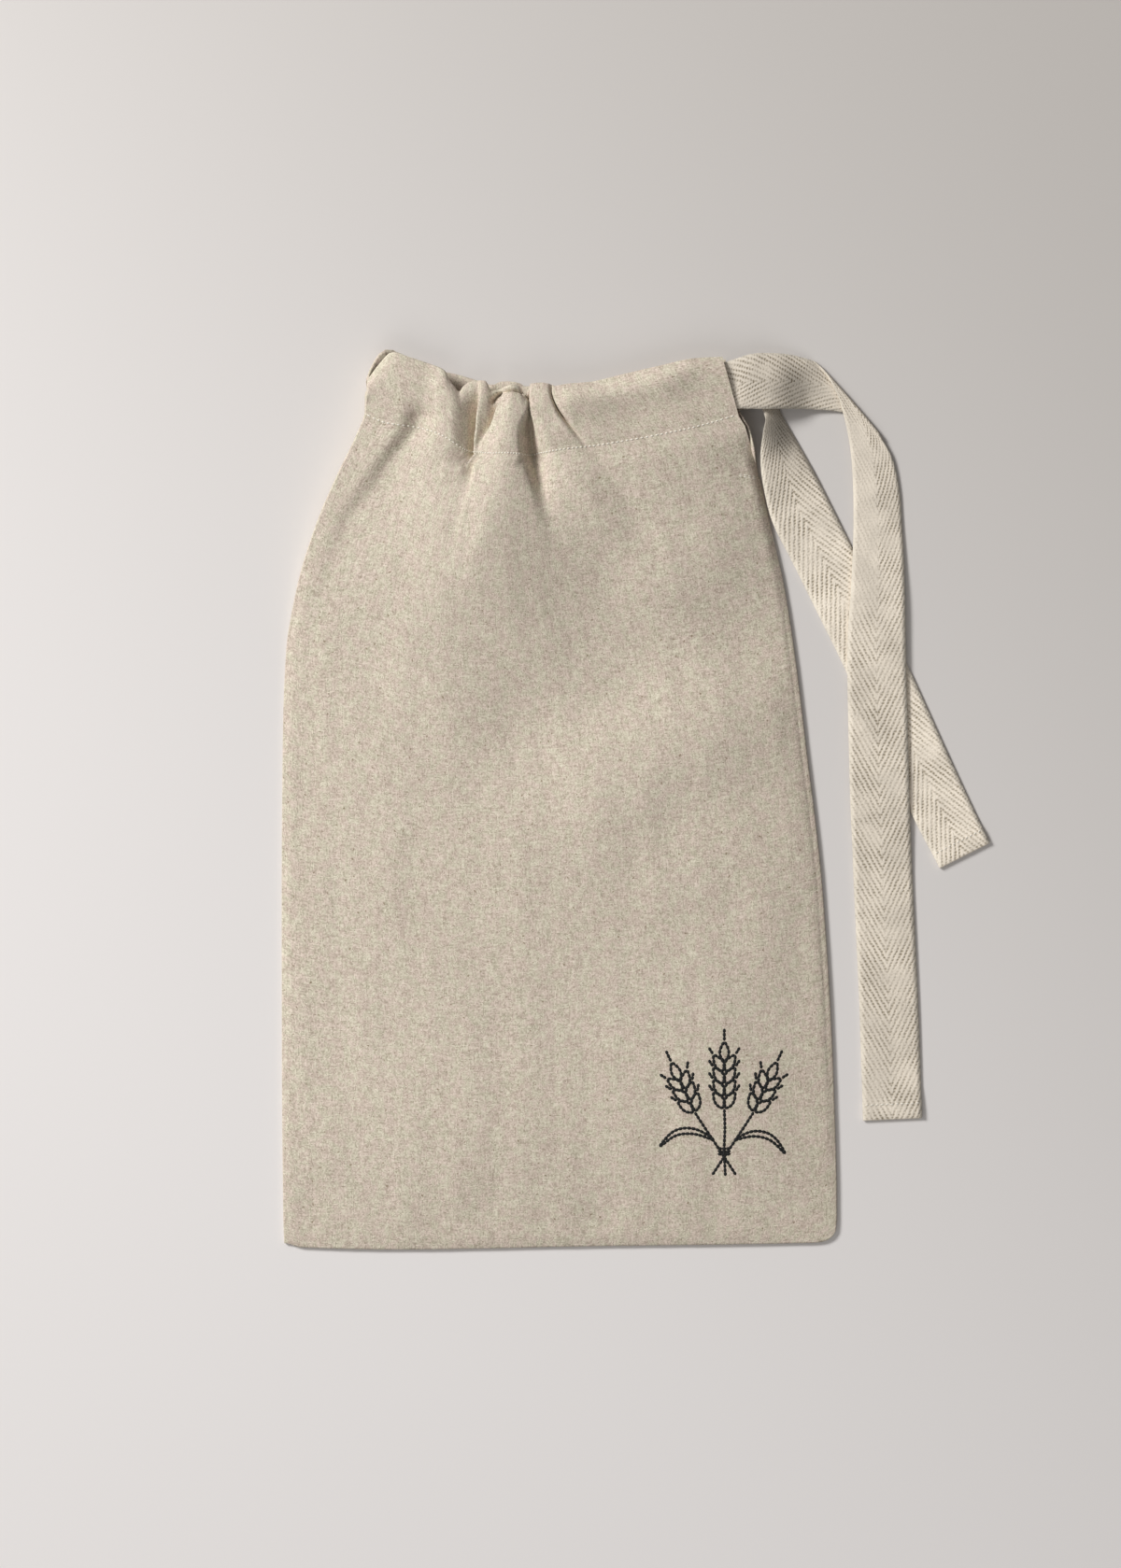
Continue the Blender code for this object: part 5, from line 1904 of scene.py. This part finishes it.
@dataclass
class DrawstringTape:
    """One tape through the whole casing, with both ends out of the slit and hemmed."""

    shape: BagShape
    weave: Material
    thread: Material
    width: float = 26.5
    thick: float = 0.7
    lies_at: float = 0.5  # mm: the lowest that its middle lies over the surface
    cells: int = 12  # faces across
    steps: int = 8  # rows between two rows of a table
    meet: float = 20.0  # rows over which the two tails' lengths are blended

    # in the casing, as shares of its depth
    inside_foot: float = 0.14
    inside_top: float = 0.88
    inside_top_at_slit: float = 0.96
    inside_ease: Pair = (4.0, 40.0)  # mm in from the slit
    inside_skip: int = 2  # columns of the bag for each row of the tape
    last_section: float = 6.6

    # the loose turn
    turn_steps: int = 14
    turn_radius: float = 0.8
    turn_bow: float = 0.3
    turn_slip: float = 5.5

    # the end hems
    hem: float = 7.5
    hem_apart: float = 0.85  # from one layer's middle to the other's
    hem_ease: float = 3.0
    hem_turns: tuple[float, ...] = (30.0, 60.0, 90.0, 120.0, 150.0)  # degrees
    hem_rows_under: int = 4
    hem_line: float = 1.2  # mm from the hem's raw edge to its stitches
    hem_inset: float = 0.8

    def build(self) -> Object:
        """Build the tape.

        Returns:
            The tape.
        """
        rows = self.all_rows()
        along = self.strand_lengths(rows)
        self.length = along[-1][self.cells // 2]
        mesh = bmesh.new()
        lay_grid(mesh, rows, [[(self.width * i / self.cells, length) for i, length in enumerate(row)]
                              for row in along])
        bmesh.ops.recalc_face_normals(mesh, faces=mesh.faces)
        self.tape = new_piece("drawstring", mesh, self.weave)
        thicken(self.tape, self.thick)
        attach(self.tape, "root")
        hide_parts("drawstring_tape")
        log.info("drawstring: %d rows, %.0f mm long", len(rows), self.length)
        return self.tape

    def declare(self, sewn_on: Sequence[Object]) -> None:
        """Take the pieces sewn on the tape; nothing is done with them.

        Args:
            sewn_on: not used.
        """

    def measure(self, rows: Sequence[Sequence[Vector]]) -> list[list[float]]:
        """Measure each strand from the first row to every other.

        Args:
            rows: rows of points.

        Returns:
            For each row, the length of each strand up to there.
        """
        lengths = [[0.0] * (self.cells + 1)]
        for a, b in zip(rows, rows[1:]):
            lengths.append([far + (q - p).length for far, p, q in zip(lengths[-1], a, b)])
        return lengths

    def strand_lengths(self, rows: Rows) -> list[list[float]]:
        """Work out how far along the tape each point is.

        Each tail is measured from its own end, and the two meet inside the casing.

        Args:
            rows: rows of points.

        Returns:
            For each row, the place along the flat tape of each point.
        """
        from_front, from_back = self.measure(rows), self.measure(rows[::-1])[::-1]
        whole, middle = from_front[-1][self.cells // 2], len(rows) / 2.0
        along = []
        for j, (near, far) in enumerate(zip(from_front, from_back)):
            share = ease(j, middle - self.meet, middle + self.meet)
            along.append([mix(a, whole - b, share) for a, b in zip(near, far)])
        return along

    def across(self, upper: Vector, lower: Vector, bow: Vector) -> list[Vector]:
        """Place points from one edge of the tape to the other.

        Args:
            upper: one edge.
            lower: the other edge.
            bow: how the middle is moved off the straight line.

        Returns:
            The points.
        """
        shares = [i / self.cells for i in range(self.cells + 1)]
        return [upper.lerp(lower, share) + bow * (1.0 - (2.0 * share - 1.0) ** 2) for share in shares]

    def table_rows(self, table: Sequence[Across]) -> Rows:
        """Place points across the tape for each row of a table."""
        return [self.across(*row.edges(), Vector((0.0, 0.0, row.crown))) for row in table]

    def inside_row(self, column: Column) -> list[Vector]:
        """Place points across the tape inside the casing, between the outer cloth and the hem.

        Args:
            column: the column of cloth over them.

        Returns:
            The points.
        """
        top = mix(self.inside_top_at_slit, self.inside_top,
                  ease(self.shape.width - column.flat, *self.inside_ease))
        return [self.shape.inner(column, mix(top, self.inside_foot, i / self.cells), 1.0)
                for i in range(self.cells + 1)]

    def smooth_rows(self, rows: Rows) -> Rows:
        """Read rows off smooth curves through the given rows, none of them below the surface.

        Args:
            rows: the given rows.

        Returns:
            The new rows.
        """
        dense = rounded(rows, self.steps)
        for row in dense[:-1]:
            for point in row:
                point.z = max(point.z, self.lies_at)
        return dense

    def turn_rows(self) -> Rows:
        """Place the rows round the front end's loose diagonal turn.

        Returns:
            The rows, from the lower layer to the upper one.
        """
        start, end = (Vector((x, y, 0.0)) for x, y in FRONT_TURN)
        along = (end - start).normalized()
        outward = Vector((-along.y, along.x, 0.0))
        rows = []
        for step in range(self.turn_steps + 1):
            angle = math.pi * (step / self.turn_steps - 0.5)
            shift = outward * (math.cos(angle) - 1.0) * self.turn_radius
            shift.z = self.lies_at + self.turn_radius * (1.0 + math.sin(angle))
            shift += along * self.turn_slip * math.sin(angle)
            rows.append(self.across(start + shift, end + shift, outward * self.turn_bow))
        return rows

    def hem_rows(self, rows: Rows) -> Rows:
        """Turn the last stretch of an end under itself.

        Args:
            rows: rows of points, the last one at the end of the tape.

        Returns:
            The same rows lifted over the hem, then the hem's own rows.
        """
        last, middle = rows[-1], self.cells // 2
        heading = (last[middle] - rows[-2][middle]).normalized()
        lifted = []
        for row in rows:
            moved = []
            for point, end in zip(row, last):
                rise = 1.0 - smooth(((end - point).dot(heading) - self.hem) / self.hem_ease)
                moved.append(point + Vector((0.0, 0.0, rise * self.hem_apart)))
            lifted.append(moved)
        top, radius = lifted[-1], self.hem_apart / 2.0
        for angle in self.hem_turns:
            turn = math.radians(angle)
            shift = heading * radius * math.sin(turn) + Vector((0.0, 0.0, radius * (math.cos(turn) - 1.0)))
            lifted.append([point + shift for point in top])
        for i in range(self.hem_rows_under + 1):
            shift = Vector((0.0, 0.0, -self.hem_apart)) - heading * self.hem * i / self.hem_rows_under
            lifted.append([point + shift for point in top])
        return lifted

    def all_rows(self) -> Rows:
        """Lay out the tape from its front end through the casing to its back end.

        Returns:
            All its rows.
        """
        width, near = self.shape.width, self.shape.width - self.last_section
        inside = [self.inside_row(column) for column in self.shape.columns()[::self.inside_skip]]
        first, last = ([self.inside_row(Column(flat, turn, 0.0)) for flat in (near, width)]
                       for turn in (1.0, 0.0))
        turn = self.turn_rows()
        front_out = self.smooth_rows(first + self.table_rows(FRONT_END) + turn[:1])
        front_down = self.hem_rows(self.smooth_rows(turn[-1:] + self.table_rows(FRONT_TAIL)))
        back_out = self.hem_rows(self.smooth_rows(last + self.table_rows(BACK_TAIL)))
        front = front_out[self.steps + 1:-1] + turn[:-1] + front_down
        middle = [first[1]] + inside[1:-1] + [last[1]]
        return front[::-1] + middle + back_out[self.steps + 1:]

    def sew_hems(self) -> Object:
        """Sew a row of small stitches across each end hem.

        Returns:
            The stitches.
        """
        stitches = Stitches("tape_end_stitches", self.tape, self.thread, wide=0.8, proud=0.3)
        for table in (FRONT_TAIL, BACK_TAIL):
            before = table[-2].edges()[0].xy
            upper, lower = (edge.xy for edge in table[-1].edges())
            back = (upper - before).normalized() * (self.hem - self.hem_line)
            inset = (lower - upper).normalized() * self.hem_inset
            stitches.run([tuple(upper + inset - back), tuple(lower - inset - back)], 2.2, 0.7)
        return stitches.finish("cotton_tape")


# -------- the studio
@dataclass
class Studio:
    """Plain pale floor, soft light from the upper left, and a camera straight above."""

    view_height: float = 711.4  # mm of floor, bottom to top of the view
    centre_x: float = 0.6
    centre_y: float = 9.1
    camera_z: float = 1800.0
    object_z: float = 6.0
    sensor: float = 36.0
    key_at: tuple[float, float, float] = (-1.9, 1.25, 1.6)
    key_size: float = 0.8
    key_power: float = 78.0
    fill_at: tuple[float, float, float] = (-0.6, -1.6, 1.8)
    fill_size: float = 1.6
    fill_power: float = 11.0
    world: str = "#F4F2F0"
    world_strength: float = 0.27
    floor_half: float = 3.0  # metres
    floor_z: float = -0.2  # mm, clear of the cloth
    sees_to: float = 20.0  # metres

    def build(self) -> None:
        """Set up the floor, the lights and the camera."""
        self.make_floor()
        self.add_light("key", self.key_at, self.key_size, self.key_power)
        self.add_light("fill", self.fill_at, self.fill_size, self.fill_power)
        world = bpy.data.worlds.new("studio")
        world.use_nodes = True
        background = world.node_tree.nodes["Background"]
        background.inputs["Color"].default_value = linear(self.world)
        background.inputs["Strength"].default_value = self.world_strength
        scene = bpy.context.scene
        scene.world = world
        scene.view_settings.view_transform = "Standard"
        self.add_camera()

    def make_floor(self) -> None:
        """Lay the wide sheet of paper that the bag lies on."""
        mesh = bmesh.new()
        bmesh.ops.create_grid(mesh, x_segments=8, y_segments=8, size=self.floor_half,
                              matrix=Matrix.Translation((0.0, 0.0, self.floor_z * MM)))
        floor = new_piece("floor", mesh, PaperFinish().build())

    def add_light(self, name: str, place: tuple[float, float, float], size: float, power: float) -> None:
        """Hang a square soft light that points at the bag.

        Args:
            name: the light's name.
            place: where it hangs, in metres.
            size: length of its side.
            power: watts.
        """
        data = bpy.data.lights.new(name, "AREA")
        data.shape = "SQUARE"
        data.size = size
        data.energy = power
        light = bpy.data.objects.new(name, data)
        light.location = place
        light.rotation_euler = (-Vector(place)).to_track_quat("-Z", "Y").to_euler()
        bpy.context.scene.collection.objects.link(light)

    def add_camera(self) -> None:
        """Hang the camera, which looks straight down."""
        data = bpy.data.cameras.new("camera")
        data.sensor_width = self.sensor
        data.lens = self.sensor * (self.camera_z - self.object_z) / self.view_height
        data.clip_end = self.sees_to
        camera = bpy.data.objects.new("camera", data)
        camera.location = (self.centre_x * MM, self.centre_y * MM, self.camera_z * MM)
        bpy.context.scene.collection.objects.link(camera)
        bpy.context.scene.camera = camera


def main() -> None:
    """Build the studio, the bag, its embroidery and its drawstring, in that order."""
    logging.basicConfig(level=logging.INFO, format="%(message)s")
    noise.seed_set(7)
    Studio().build()
    linen = LinenFinish().build()
    cotton = ThreadFinish("off-white sewing thread", "#F4EFE4", "#DDD5C6").build()
    black = ThreadFinish("black embroidery thread", "#141615", "#0E0F0E", 0.7).build()
    shape = BagShape()
    bag = LinenBag(shape, linen, cotton)
    bag.build()
    wheat = WheatEmbroidery(bag.cloth, black).build()
    bag.declare([wheat])
    tape = DrawstringTape(shape, TapeFinish().build(), cotton)
    tape.build()
    tape.declare([tape.sew_hems()])


if __name__ == "__main__":
    main()
